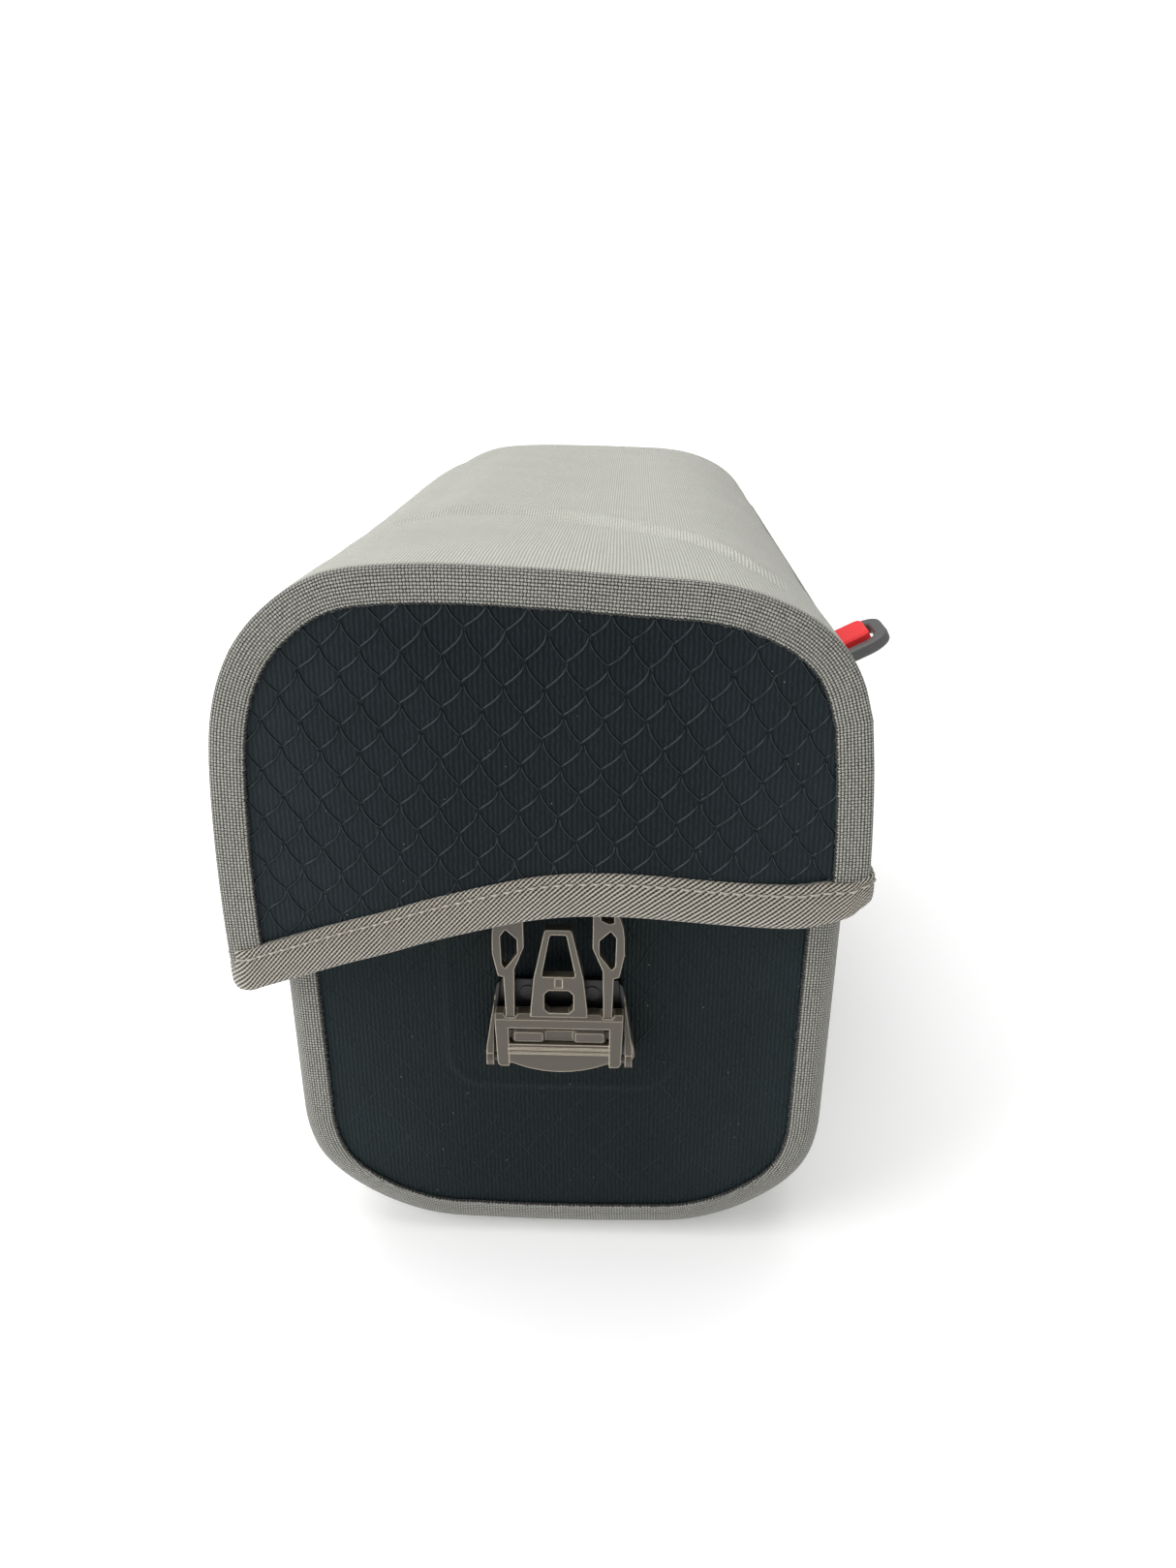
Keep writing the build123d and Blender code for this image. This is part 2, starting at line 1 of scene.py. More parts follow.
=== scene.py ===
"""The saddle bag's visual model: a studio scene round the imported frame."""
import math
import bpy
import numpy as np
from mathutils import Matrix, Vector


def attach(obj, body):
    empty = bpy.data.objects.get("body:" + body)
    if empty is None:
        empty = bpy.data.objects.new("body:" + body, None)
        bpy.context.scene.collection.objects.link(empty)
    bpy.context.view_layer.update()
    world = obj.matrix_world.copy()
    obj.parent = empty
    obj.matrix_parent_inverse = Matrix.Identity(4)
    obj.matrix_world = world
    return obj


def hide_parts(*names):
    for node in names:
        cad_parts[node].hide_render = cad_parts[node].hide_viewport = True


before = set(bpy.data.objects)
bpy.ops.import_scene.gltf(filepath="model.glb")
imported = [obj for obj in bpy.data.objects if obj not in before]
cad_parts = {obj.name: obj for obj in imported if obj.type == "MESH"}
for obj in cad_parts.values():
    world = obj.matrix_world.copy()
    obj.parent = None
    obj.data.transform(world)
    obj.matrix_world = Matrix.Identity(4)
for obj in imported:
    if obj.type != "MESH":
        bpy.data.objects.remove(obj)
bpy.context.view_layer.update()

MM = 0.001
scene = bpy.context.scene

# ------------------------------------------------------------------ dimensions, in millimetres
LID_L = 168.0                   # half length of the lid
EAR_Y = 156.0
BAND = 8.6                      # width of the turned-over end band
RIDGE_R = 1.1
BODY_L, BODY_R, BODY_W, BODY_LEAN, RIM = 154.0, 30.0, 72.6, math.radians(1.0), 163.0

BX = 0.6                        # middle of the buckles


# ------------------------------------------------------------------ geometry helpers
def spline(points, n):
    """n points at even steps along a smooth curve through the points."""
    p = np.array(points, float)
    ext = np.vstack([2 * p[0] - p[1], p, 2 * p[-1] - p[-2]])
    t = np.linspace(0, 1, 24, endpoint=False)[:, None]
    out = []
    for a, b, c, d in zip(ext, ext[1:], ext[2:], ext[3:]):
        out.append(0.5 * (2 * b + (c - a) * t + (2 * a - 5 * b + 4 * c - d) * t ** 2
                          + (3 * b - a - 3 * c + d) * t ** 3))
    return even(np.vstack(out + [p[-1:]]), n)


def even(p, n):
    """A polyline resampled at n even steps."""
    s = lengths(p)
    f = np.linspace(0, s[-1], n)
    return np.stack([np.interp(f, s, p[:, k]) for k in range(p.shape[1])], 1)


def lengths(p):
    return np.concatenate([[0], np.cumsum(np.linalg.norm(np.diff(p, axis=0), axis=1))])


def smoothstep(x, a, b):
    t = np.clip((np.asarray(x, float) - a) / (b - a), 0, 1)
    return t * t * (3 - 2 * t)


def waves(x, y, scale, seed, octaves=3):
    """Smooth seeded noise of about -1 to 1, from a few plane waves."""
    r = np.random.default_rng(seed)
    total, weight = 0.0, 0.0
    for k in range(octaves * 4):
        f = 2 ** (k // 4) / scale
        a = r.uniform(0, math.tau)
        total = total + np.sin((np.cos(a) * x + np.sin(a) * y) * f * math.tau
                               + r.uniform(0, math.tau)) / 2 ** (k // 4)
        weight += 0.35 / 2 ** (k // 4)
    return total / weight / 3


class Soup:
    """Collects vertices, faces and UVs in millimetres, and makes one mesh object of them."""

    def __init__(self):
        self.v, self.f, self.uv, self.n = [], [], [], 0

    def add(self, verts, faces, uv=None):
        verts = np.asarray(verts, float).reshape(-1, 3)
        uv = np.zeros((len(verts), 2)) if uv is None else np.asarray(uv, float).reshape(-1, 2)
        self.v.append(verts)
        self.uv.append(uv)
        self.f += [tuple(i + self.n for i in face) for face in faces]
        self.n += len(verts)

    def grid(self, verts, uv=None, skip=None, flip=False, wrap=False):
        """verts is (rows, columns, 3). skip says which cells to leave out."""
        r, c = verts.shape[:2]
        faces = []
        for i in range(r - 1):
            for j in range(c - (0 if wrap else 1)):
                if skip is None or not skip[i, j]:
                    k = (j + 1) % c
                    face = (i * c + j, i * c + k, (i + 1) * c + k, (i + 1) * c + j)
                    faces.append(face[::-1] if flip else face)
        self.add(verts, faces, uv)

    def make(self, name, material, body, replaces=(), thick=0.0, smooth=True, clean=True):
        mesh = bpy.data.meshes.new(name)
        v, uv = np.vstack(self.v), np.vstack(self.uv)
        mesh.from_pydata((v * MM).tolist(), [], self.f)
        layer = mesh.uv_layers.new(name="UVMap")
        index = np.empty(len(mesh.loops), int)
        mesh.loops.foreach_get("vertex_index", index)
        layer.data.foreach_set("uv", uv[index].astype(np.float32).ravel())
        mesh.polygons.foreach_set("use_smooth", [smooth] * len(mesh.polygons))
        mesh.materials.append(material)
        obj = bpy.data.objects.new(name, mesh)
        scene.collection.objects.link(obj)
        if clean:
            import bmesh
            bm = bmesh.new()
            bm.from_mesh(mesh)
            bmesh.ops.remove_doubles(bm, verts=bm.verts, dist=2e-6)
            loose = [x for x in bm.verts if not x.link_faces]
            bmesh.ops.delete(bm, geom=loose, context="VERTS")
            bmesh.ops.recalc_face_normals(bm, faces=bm.faces) if clean == "outside" else None
            bm.to_mesh(mesh)
            bm.free()
        if thick:
            mod = obj.modifiers.new("thickness", "SOLIDIFY")
            mod.thickness = abs(thick) * MM
            mod.offset = -1 if thick > 0 else 1
        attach(obj, body)
        if replaces:
            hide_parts(*replaces)
        return obj


def tangents(path):
    """Unit tangents along a path."""
    t = np.gradient(path, axis=0)
    return t / np.linalg.norm(t, axis=1)[:, None]


def texture_grid(rows, columns):
    """Texture places of a grid, from one value for each row and one for each column."""
    return np.stack(np.broadcast_arrays(rows[:, None], columns[None]), -1)


def frames(path, up):
    """Tangent, outward normal and up at each point of a path."""
    t = tangents(path)
    up = np.broadcast_to(np.asarray(up, float), path.shape)
    n = np.cross(t, up)
    n /= np.linalg.norm(n, axis=1)[:, None]
    b = np.cross(n, t)
    return t, n, b


def sweep(soup, path, section, up=(0, 0, 1), closed=True, caps=True, scale=None):
    """Sweeps a section of (outward, up) pairs along a path."""
    path, section = np.asarray(path, float), np.asarray(section, float)
    _, n, b = frames(path, up)
    k = np.ones(len(path)) if scale is None else scale
    grid = path[:, None] + k[:, None, None] * (n[:, None] * section[None, :, :1]
                                               + b[:, None] * section[None, :, 1:])
    ring = np.vstack([section, section[:1]]) if closed else section
    w = lengths(ring)[:len(section)]
    uv = texture_grid(lengths(path), w)
    soup.grid(grid, uv, wrap=closed)
    if closed and caps:
        m = len(section)
        soup.add(grid[0], [tuple(range(m))], uv[0])
        soup.add(grid[-1], [tuple(range(m))[::-1]], uv[-1])


def stitches(soup, path, outward, pitch=3.2, length=2.5, radius=0.3, lift=0.1):
    """A row of thread stitches along a path, each a short bowed cord whose ends sink in."""
    s = lengths(path)
    outward = np.broadcast_to(np.asarray(outward, float), path.shape)
    for k in range(int(s[-1] // pitch)):
        at = s[0] + (k + 0.5) * pitch + np.linspace(-length / 2, length / 2, 6)
        if at[-1] > s[-1]:
            break
        p = np.stack([np.interp(at, s, path[:, i]) for i in range(3)], 1)
        o = np.stack([np.interp(at, s, outward[:, i]) for i in range(3)], 1)
        bow = np.array([-0.9, 0.35, 0.95, 0.95, 0.35, -0.9]) * radius + lift
        p = p + o * bow[:, None]
        t = tangents(p)
        side = np.cross(t, o)
        a = np.linspace(0, math.tau, 6, endpoint=False)
        r = radius * np.array([0.6, 1, 1.05, 1.05, 1, 0.6])
        ring = p[:, None] + r[:, None, None] * (side[:, None] * np.cos(a)[None, :, None]
                                                + o[:, None] * np.sin(a)[None, :, None])
        soup.grid(ring, wrap=True)
        soup.add(ring[0], [tuple(range(6))])
        soup.add(ring[-1], [tuple(range(6))[::-1]])


# ------------------------------------------------------------------ materials
class Nodes:
    """A node material, built with a few short calls."""

    def __init__(self, name, rough=0.6, **sockets):
        self.material = bpy.data.materials.new(name)
        self.material.use_nodes = True
        self.tree = self.material.node_tree
        self.shader = self.tree.nodes["Principled BSDF"]
        self.set("Roughness", rough)
        for key, value in sockets.items():
            self.shader.inputs[key.replace("_", " ")].default_value = value

    def set(self, socket, value):
        if isinstance(value, (int, float, tuple)):
            self.shader.inputs[socket].default_value = value
        else:
            self.tree.links.new(value, self.shader.inputs[socket])

    def node(self, kind, inputs=None, **settings):
        n = self.tree.nodes.new("ShaderNode" + kind)
        for key, value in settings.items():
            setattr(n, key, value)
        for key, value in (inputs or {}).items():
            if isinstance(value, (int, float, tuple)):
                n.inputs[key].default_value = value
            else:
                self.tree.links.new(value, n.inputs[key])
        return n

    def math(self, operation, a, b=0.0, c=0.0):
        return self.node("Math", {0: a, 1: b, 2: c}, operation=operation).outputs[0]

    def uv(self):
        x = self.node("SeparateXYZ", {0: self.node("UVMap", uv_map="UVMap").outputs[0]})
        return x.outputs[0], x.outputs[1]

    def position(self):
        """Object coordinates in millimetres."""
        out = self.node("TexCoord").outputs["Object"]
        return self.node("VectorMath", {0: out, "Scale": 1000.0}, operation="SCALE").outputs[0]

    def vector(self, x, y, z=0.0):
        return self.node("CombineXYZ", {0: x, 1: y, 2: z}).outputs[0]

    def noise(self, vector, scale, detail=3.0, rough=0.55):
        inputs = {"Vector": vector, "Scale": scale, "Detail": detail, "Roughness": rough}
        return self.node("TexNoise", inputs).outputs["Fac"]

    def ramp(self, fac, *stops):
        n = self.node("ValToRGB", {0: fac})
        ramp = n.color_ramp
        while len(ramp.elements) < len(stops):
            ramp.elements.new(0.5)
        for element, (at, colour) in zip(ramp.elements, stops):
            element.position = at
            colour = (colour,) * 3 if isinstance(colour, (int, float)) else colour
            element.color = (*colour, 1)
        return n.outputs[0]

    def mix(self, fac, a, b, blend="MIX"):
        n = self.node("Mix", {0: fac}, data_type="RGBA", blend_type=blend)
        for socket, value in ((6, a), (7, b)):
            if isinstance(value, tuple):
                n.inputs[socket].default_value = (*value, 1)
            else:
                self.tree.links.new(value, n.inputs[socket])
        return n.outputs[2]

    def bump(self, height, distance, strength=1.0, normal=None):
        inputs = {"Height": height, "Distance": distance * MM, "Strength": strength}
        if normal is not None:
            inputs["Normal"] = normal
        return self.node("Bump", inputs).outputs[0]

    def weave(self, u, v, pu, pv, cross=1.0):
        """The height of a plain weave: threads pass over and under in turn. Cross lowers one set."""
        u, v = self.math("DIVIDE", u, pu), self.math("DIVIDE", v, pv)
        height = []
        for a, b, shift in ((u, v, -0.5), (v, u, 0.5)):
            across = self.math("SINE", self.math("MULTIPLY", self.math("FRACT", b), math.pi))
            phase = self.math("ADD", self.math("ADD", a, self.math("FLOOR", b)), shift)
            along = self.math("COSINE", self.math("MULTIPLY", phase, math.pi))
            along = self.math("MULTIPLY_ADD", along, 0.5, 0.5)
            height.append(self.math("MULTIPLY", across, along))
        height[1] = self.math("MULTIPLY", height[1], cross)
        return self.math("MAXIMUM", *height)


def grey_weave(name, light, dark, contrast=1.0, distance=0.22, pitch=0.8, jitter=0.25, cross=0.55,
               low=0.3, high=0.62):
    m = Nodes(name, 0.62, Sheen_Weight=0.25, Sheen_Roughness=0.5)
    u, v = m.uv()
    uv = m.vector(u, v)
    wob = m.math("MULTIPLY_ADD", m.noise(uv, 0.25, 2), jitter, -jitter / 2)
    h = m.weave(m.math("ADD", u, wob), m.math("ADD", v, wob), pitch, pitch, cross)
    slub = m.noise(m.vector(m.math("MULTIPLY", u, 0.35), m.math("MULTIPLY", v, 1.3)), 1.0, 2)
    thread = m.math("MULTIPLY", h, m.math("MULTIPLY_ADD", slub, 0.7, 0.62))
    base = m.ramp(thread, (low, dark), (high, light))
    blotch = m.noise(uv, 0.03, 4)
    base = m.mix(m.math("MULTIPLY", blotch, 0.35 * contrast), base, tuple(0.8 * c for c in light), "MULTIPLY")
    m.set("Base Color", base)
    m.set("Roughness", m.math("MULTIPLY_ADD", blotch, 0.2, 0.5))
    m.set("Normal", m.bump(thread, distance))
    return m.material


def black_ribs(name, rib=1.25, base=(0.0045, 0.0068, 0.0078), specks=True, lines=False):
    m = Nodes(name, 0.5, Specular_IOR_Level=0.1)
    u, v = m.uv()
    uv = m.vector(u, v)
    wob = m.math("MULTIPLY", m.math("SUBTRACT", m.noise(uv, 0.45, 3), 0.5), 0.9)
    wave = m.math("SINE", m.math("MULTIPLY", m.math("ADD", u, wob), math.tau / rib))
    bead = m.noise(m.vector(m.math("MULTIPLY", u, 1.6), v), 0.8, 2)
    ribs = m.math("MULTIPLY", m.math("MULTIPLY_ADD", wave, 0.5, 0.5), bead)
    colour = m.ramp(ribs, (0.12, base), (0.6, tuple(3.2 * c for c in base)))
    # painted sheen: random lighter patches are screened over the black; the same noise also varies the
    # roughness
    sheen_noise = m.noise(uv, 0.05, 4)
    colour = m.mix(m.math("MULTIPLY", sheen_noise, 0.5), colour, tuple(2.2 * c for c in base), "SCREEN")
    # painted sheen: the panel's left and right parts are painted lighter, rising from 22 to 76 mm off its
    # middle
    side_sheen = m.node("MapRange", {"Value": m.math("ABSOLUTE", u),
                                "From Min": 22.0, "From Max": 76.0}).outputs[0]
    colour = m.mix(m.math("MULTIPLY", side_sheen, m.math("ADD", sheen_noise, 0.3)), colour,
                   tuple(2.1 * c for c in base), "ADD")
    height = ribs
    if lines:
        for sign in (1, -1):
            d = m.math("ADD", m.math("MULTIPLY", u, 0.78 * sign), m.math("MULTIPLY", v, 0.62))
            d = m.math("ADD", d, m.math("MULTIPLY", m.noise(uv, 0.06, 1), 6.0))
            ridge = m.math("ABSOLUTE", m.math("SINE", m.math("MULTIPLY", d, math.pi / 7.4)))
            ridge = m.math("SUBTRACT", 1.0, m.math("MULTIPLY", ridge, 9.0))
            ridge = m.math("MULTIPLY", m.math("MAXIMUM", ridge, 0.0), 0.8)
            height = m.math("ADD", height, ridge)
            # painted highlight: the raised lines are also painted lighter along their ridges
            colour = m.mix(m.math("MULTIPLY", ridge, 0.5), colour, tuple(3.4 * c for c in base), "SCREEN")
    if specks:
        dots = m.node("TexVoronoi", {"Vector": uv, "Scale": 0.28, "Randomness": 1.0})
        near = m.math("LESS_THAN", dots.outputs["Distance"], 0.045)
        keep = m.math("GREATER_THAN", m.node("SeparateColor", {0: dots.outputs["Color"]}).outputs[0], 0.62)
        colour = m.mix(m.math("MULTIPLY", m.math("MULTIPLY", near, keep), 0.7), colour, (0.28, 0.28, 0.26))
    m.set("Base Color", colour)
    m.set("Roughness", m.math("MULTIPLY_ADD", sheen_noise, 0.25, 0.36))
    m.set("Normal", m.bump(height, 0.2, 1.0))
    return m.material


def twill(name, light, dark, pitch=1.25, slope=0.8, distance=0.3):
    """Woven tape with raised diagonal cords, each broken into short floats."""
    m = Nodes(name, 0.72, Sheen_Weight=0.3, Sheen_Roughness=0.5)
    u, v = m.uv()
    uv = m.vector(u, v)
    wob = m.math("MULTIPLY", m.math("SUBTRACT", m.noise(uv, 0.3, 2), 0.5), 0.4)
    d = m.math("ADD", m.math("SUBTRACT", v, m.math("MULTIPLY", u, slope)), wob)
    e = m.math("ADD", u, m.math("MULTIPLY", v, slope))
    rows = m.math("MULTIPLY_ADD", m.math("COSINE", m.math("MULTIPLY", d, math.tau / pitch)), 0.5, 0.5)
    dots = m.math("MULTIPLY_ADD", m.math("COSINE", m.math("MULTIPLY", e, math.tau / 1.15)), 0.25, 0.75)
    hollow = m.math("MULTIPLY", rows, dots)
    colour = m.ramp(hollow, (0.2, light), (0.5, dark))
    blotch = m.noise(uv, 0.06, 3)
    colour = m.mix(m.math("MULTIPLY", blotch, 0.35), colour, tuple(0.75 * c for c in light), "MULTIPLY")
    m.set("Base Color", colour)
    m.set("Normal", m.bump(m.math("SUBTRACT", 1.0, hollow), distance))
    return m.material


def plastic(name, colour, rough=0.42, grain=0.05, wear_and_highlight=0.35, coat=0.0, dark=False, rim=0.0, spec=0.5):
    """Moulded plastic with a fine grain and paler edges: partly rubbed wear, partly a painted highlight.

    Dark paints the middle between its flanges near black: a painted shadow in its recess.
    """
    m = Nodes(name, rough, Coat_Weight=coat, Coat_Roughness=0.25, Specular_IOR_Level=spec)
    p = m.position()
    cloud = m.noise(p, 0.12, 4)
    fine = m.noise(p, 5.0, 2)
    geometry = m.node("NewGeometry")
    edge, normal = m.ramp(geometry.outputs["Pointiness"], (0.5, 0.0), (0.56, 1.0)), None
    if rim:
        normal = m.node("Bevel", {"Radius": rim * MM}, samples=6).outputs[0]
        turn = m.node("VectorMath", {0: normal, 1: geometry.outputs["True Normal"]}, operation="DOT_PRODUCT")
        edge = m.ramp(m.math("SUBTRACT", 1.0, turn.outputs["Value"]), (0.02, 0.0), (0.16, 1.0))
    # paler edges: partly rubbed wear, partly a painted highlight; with rim, the edges that the bevel finds
    # are painted much paler
    fac = m.math("MULTIPLY", edge, m.math("MULTIPLY", cloud, wear_and_highlight))
    base = m.mix(m.math("MULTIPLY", cloud, 0.5), colour, tuple(0.8 * c for c in colour))
    base = m.mix(fac, base, tuple(min(1.0, (7.5 if rim else 2.2) * c + 0.05) for c in colour))
    # painted shadow: the anchor's middle between its flanges is painted near black where it lies in shade
    if dark:
        x = m.node("SeparateXYZ", {0: p}).outputs[0]
        middle = m.math("LESS_THAN", m.math("ABSOLUTE", m.math("SUBTRACT", x, BX)), 17.0)
        base = m.mix(middle, base, (0.006, 0.006, 0.006))
    m.set("Base Color", base)
    m.set("Roughness", m.math("MULTIPLY_ADD", fine, 0.18, rough - 0.09))
    m.set("Normal", m.bump(fine, grain, 0.6, normal))
    return m.material


def scale_gloss(name):
    """The glossy black of the raised scale lines."""
    m = Nodes(name, 0.2, Specular_IOR_Level=0.4, Specular_Tint=(0.75, 0.93, 1.0, 1.0))
    fine = m.noise(m.position(), 1.2, 2)
    m.set("Base Color", m.mix(fine, (0.0012, 0.0022, 0.0026), (0.003, 0.0045, 0.005)))
    m.set("Roughness", m.math("MULTIPLY_ADD", fine, 0.14, 0.08))
    m.set("Normal", m.bump(fine, 0.05, 0.5))
    return m.material


def metal(name, colour, rough=0.35):
    m = Nodes(name, rough, Metallic=1.0)
    p = m.position()
    streak = m.noise(m.node("VectorMath", {0: p, 1: (0.3, 4.0, 4.0)},
                            operation="MULTIPLY").outputs[0], 1.2, 3)
    m.set("Base Color", m.mix(streak, colour, tuple(0.7 * c for c in colour)))
    m.set("Roughness", m.math("MULTIPLY_ADD", streak, 0.25, rough - 0.1))
    m.set("Normal", m.bump(streak, 0.02, 0.5))
    return m.material


def webbing(name, colour):
    """Ribbed webbing: V is across the strap."""
    m = Nodes(name, 0.7, Sheen_Weight=0.2)
    u, v = m.uv()
    row = m.math("SINE", m.math("MULTIPLY", v, math.tau / 1.7))
    zig = m.math("MULTIPLY", m.math("ABSOLUTE", m.math("SUBTRACT", m.math("FRACT", m.math("DIVIDE", v, 1.7)),
                                                       0.5)), 1.6)
    rib = m.math("SINE", m.math("MULTIPLY", m.math("ADD", u, zig), math.tau / 1.1))
    h = m.math("ADD", m.math("MULTIPLY", row, 0.5), m.math("MULTIPLY", rib, 0.5))
    m.set("Base Color", m.ramp(m.math("MULTIPLY_ADD", h, 0.5, 0.5),
                               (0.1, tuple(0.45 * c for c in colour)), (0.8, colour)))
    m.set("Normal", m.bump(h, 0.2))
    return m.material


def coated(name, colour, rough=0.45, pitch=0.5):
    """Smooth coated cloth with its weave faintly telegraphed."""
    m = Nodes(name, rough)
    u, v = m.uv()
    uv = m.vector(u, v)
    h = m.weave(u, v, pitch, pitch)
    cloud = m.noise(uv, 0.04, 4)
    m.set("Base Color", m.mix(cloud, colour, tuple(0.72 * c for c in colour)))
    m.set("Roughness", m.math("MULTIPLY_ADD", cloud, 0.25, rough - 0.1))
    m.set("Normal", m.bump(h, 0.06, 0.8))
    return m.material


M = {
    "top": grey_weave("grey_weave_top", (0.66, 0.66, 0.59), (0.12, 0.12, 0.1),
                      distance=0.25, cross=0.8, low=0.12),
    "band": grey_weave("grey_weave_band", (0.475, 0.47, 0.415), (0.012, 0.012, 0.01),
                       distance=0.35, cross=0.72),
    "side": grey_weave("grey_weave_body", (0.48, 0.475, 0.42), (0.03, 0.03, 0.026),
                       distance=0.28, cross=0.72, low=0.2),
    "panel": black_ribs("black_ribs", base=(0.0037, 0.0057, 0.0066)),
    "body_panel": black_ribs("black_ribs_body", rib=1.15, base=(0.0034, 0.0058, 0.0064), lines=True),
    "scale": scale_gloss("scale_line"),
    "tape": twill("tape_twill", (0.53, 0.487, 0.408), (0.005, 0.004, 0.003)),
    "dark_tape": twill("tape_dark", (0.10, 0.10, 0.10), (0.02, 0.02, 0.02)),
    "thread": coated("thread", (0.50, 0.46, 0.40), 0.7, 0.3),
    "grey_thread": coated("thread_grey", (0.44, 0.44, 0.39), 0.7, 0.3),
    "dark_thread": coated("thread_dark", (0.06, 0.06, 0.06), 0.7, 0.3),
    "buckle": plastic("buckle_plastic", (0.088, 0.076, 0.058), rough=0.32, wear_and_highlight=3.4, rim=0.5),
    "anchor": plastic("anchor_plastic", (0.086, 0.074, 0.057), rough=0.34, wear_and_highlight=3.0, dark=True, rim=0.5),
    "rivet": plastic("rivet_plastic", (0.02, 0.02, 0.02), rough=0.4),
    "hook": plastic("hook_plastic", (0.10, 0.10, 0.10), rough=0.45),
    "red": plastic("lever_plastic", (1.0, 0.035, 0.04), rough=0.42, grain=0.03, wear_and_highlight=0.1, spec=0.2),
    "steel": metal("steel", (0.55, 0.55, 0.55)),
    "rail": metal("rail_black", (0.05, 0.05, 0.052), 0.45),
    "liner": coated("liner_cloth", (0.16, 0.165, 0.165)),
    "hinge": grey_weave("grey_weave_hinge", (0.6, 0.6, 0.535), (0.22, 0.22, 0.19), distance=0.15),
    "webbing": webbing("webbing", (0.09, 0.09, 0.09)),
    "board": coated("board", (0.03, 0.03, 0.03), 0.5, 1.5),
}


# ------------------------------------------------------------------ the lid's section
NEAR = [(-81.6, 97), (-82.2, 103), (-82.5, 115.6), (-82.4, 132), (-81.7, 148.5),
        (-80.5, 160.2), (-78.9, 167.8),
        (-76.3, 175.2), (-72.3, 182.4), (-66, 189.5), (-57, 196), (-46.2, 199.6),
        (-26.6, 200.8), (-1.5, 199.8),
        (19, 198.3), (34.5, 197.2), (44.7, 195.2), (54.5, 191.4), (61.5, 187),
        (67, 181.4), (70.9, 174.5), (73.6, 165.6)]
MID = [(-81.5, 97), (-81.6, 103), (-81.7, 116), (-81.7, 132), (-81.5, 148), (-80.3, 160), (-78.2, 168.5),
       (-75, 176), (-70.3, 183), (-63.5, 189.5), (-54, 194.6), (-43, 197), (-25, 197.2), (0, 196.2),
       (20, 195.4), (33, 194.8), (43.5, 192.8), (53.8, 188.7),
       (62.2, 183), (68.2, 177.2), (72.4, 171), (74.6, 165.6)]
FAR = [(-81.6, 97), (-82, 103), (-82, 115.6), (-81.8, 132), (-81, 148.5), (-79.5, 160), (-77, 168),
       (-73.5, 175), (-68.5, 181.5), (-61.5, 187), (-52, 191.3), (-42, 193.4), (-25, 194.2), (0, 193.9),
       (20, 193.3), (34, 192.6), (45, 190.8), (54.8, 187.4),
       (62.4, 183), (68, 177.8), (72.2, 171.5), (74.4, 165.6)]
EAR_NEAR = [(73.6, 165.6), (75.0, 152), (75.9, 137), (76.2, 127), (76.2, 119)]
EAR_MID = [(74.6, 165.6), (75.8, 152), (76.1, 137), (76.2, 127), (76.2, 119)]
NS, NE = 150, 26
S_NEAR, S_MID, S_FAR = (spline(p, NS) for p in (NEAR, MID, FAR))
E_NEAR, E_MID = spline(EAR_NEAR, NE), spline(EAR_MID, NE)


def lid_section(y, ear=False):
    """The hood's section at y: it is fullest at its ends and sinks a little between them."""
    w = smoothstep(abs(y), 60, 168)
    if ear:
        return E_NEAR * w + E_MID * (1 - w)
    return (S_NEAR if y < 0 else S_FAR) * w + S_MID * (1 - w)


def normals2(p):
    t = tangents(p)
    return np.stack([-t[:, 1], t[:, 0]], 1)


def outward_lid(p):
    return -normals2(p) * OUT_SIGN


def full_section(y):
    return np.vstack([lid_section(y), lid_section(y, True)[1:]])


def crease(p, y):
    """Soft folds of the lid's top: one bowed across it near the right end, one along its front edge."""
    x, z = p[:, 0], p[:, 1]
    top = smoothstep(z, 178, 194)
    bow = -60 - 0.018 * (x + 14) ** 2
    d = y - bow
    fold = -1.5 * np.exp(-(d / 5.0) ** 2) + 0.9 * np.exp(-((d - 9) / 6.0) ** 2)
    fold *= smoothstep(x, -62, -40) * (1 - smoothstep(x, 45, 62))
    line = -1.1 * np.exp(-((x + 46) / 5.5) ** 2) * smoothstep(y, -95, -60) * (1 - smoothstep(y, 120, 160))
    sag = -1.6 * np.exp(-((x - 5) / 30) ** 2) * (1 - smoothstep(abs(y), 60, 150))
    soft = 0.45 * waves(x, y, 90, 3) * (1 - smoothstep(abs(y), 140, 166))
    return (fold + line + sag + soft) * top


OUT_SIGN = -1.0


def hood_rows(inset=0.0, half=LID_L, step=3.0):
    """Rows of the hood between its end ridges, with their Y."""
    ys = np.linspace(-half + RIDGE_R, half - RIDGE_R, int(2 * half / step))
    rows = []
    for y in ys:
        p = full_section(y)
        n = -normals2(p) * OUT_SIGN
        z_soft = crease(p, y)
        q = p - n * (inset - z_soft[:, None])
        side = (1 - smoothstep(p[:, 1], 165, 190)) * (1 - smoothstep(abs(y), 135, 164))
        q = q + n * (0.7 * waves(p[:, 1], y, 70, 11) * side)[:, None]
        rows.append(np.column_stack([q[:, 0], np.full(len(q), y), q[:, 1]]))
    return ys, np.array(rows)


def end_rings(radius, width, half, lip=0.9):
    """Insets and depths of the turn from the wall to the end band, and of the band itself."""
    a = np.radians(np.linspace(0, 90, 5))
    rings = [(radius * (1 - math.cos(x)), half - radius + radius * math.sin(x)) for x in a]
    rings += [(d, half + 0.15) for d in np.linspace(radius + 0.8, width - 0.4, 5)]
    rings += [(width, half - 0.05), (width + 0.1, half - lip), (width - 1.0, half - lip)]
    return rings


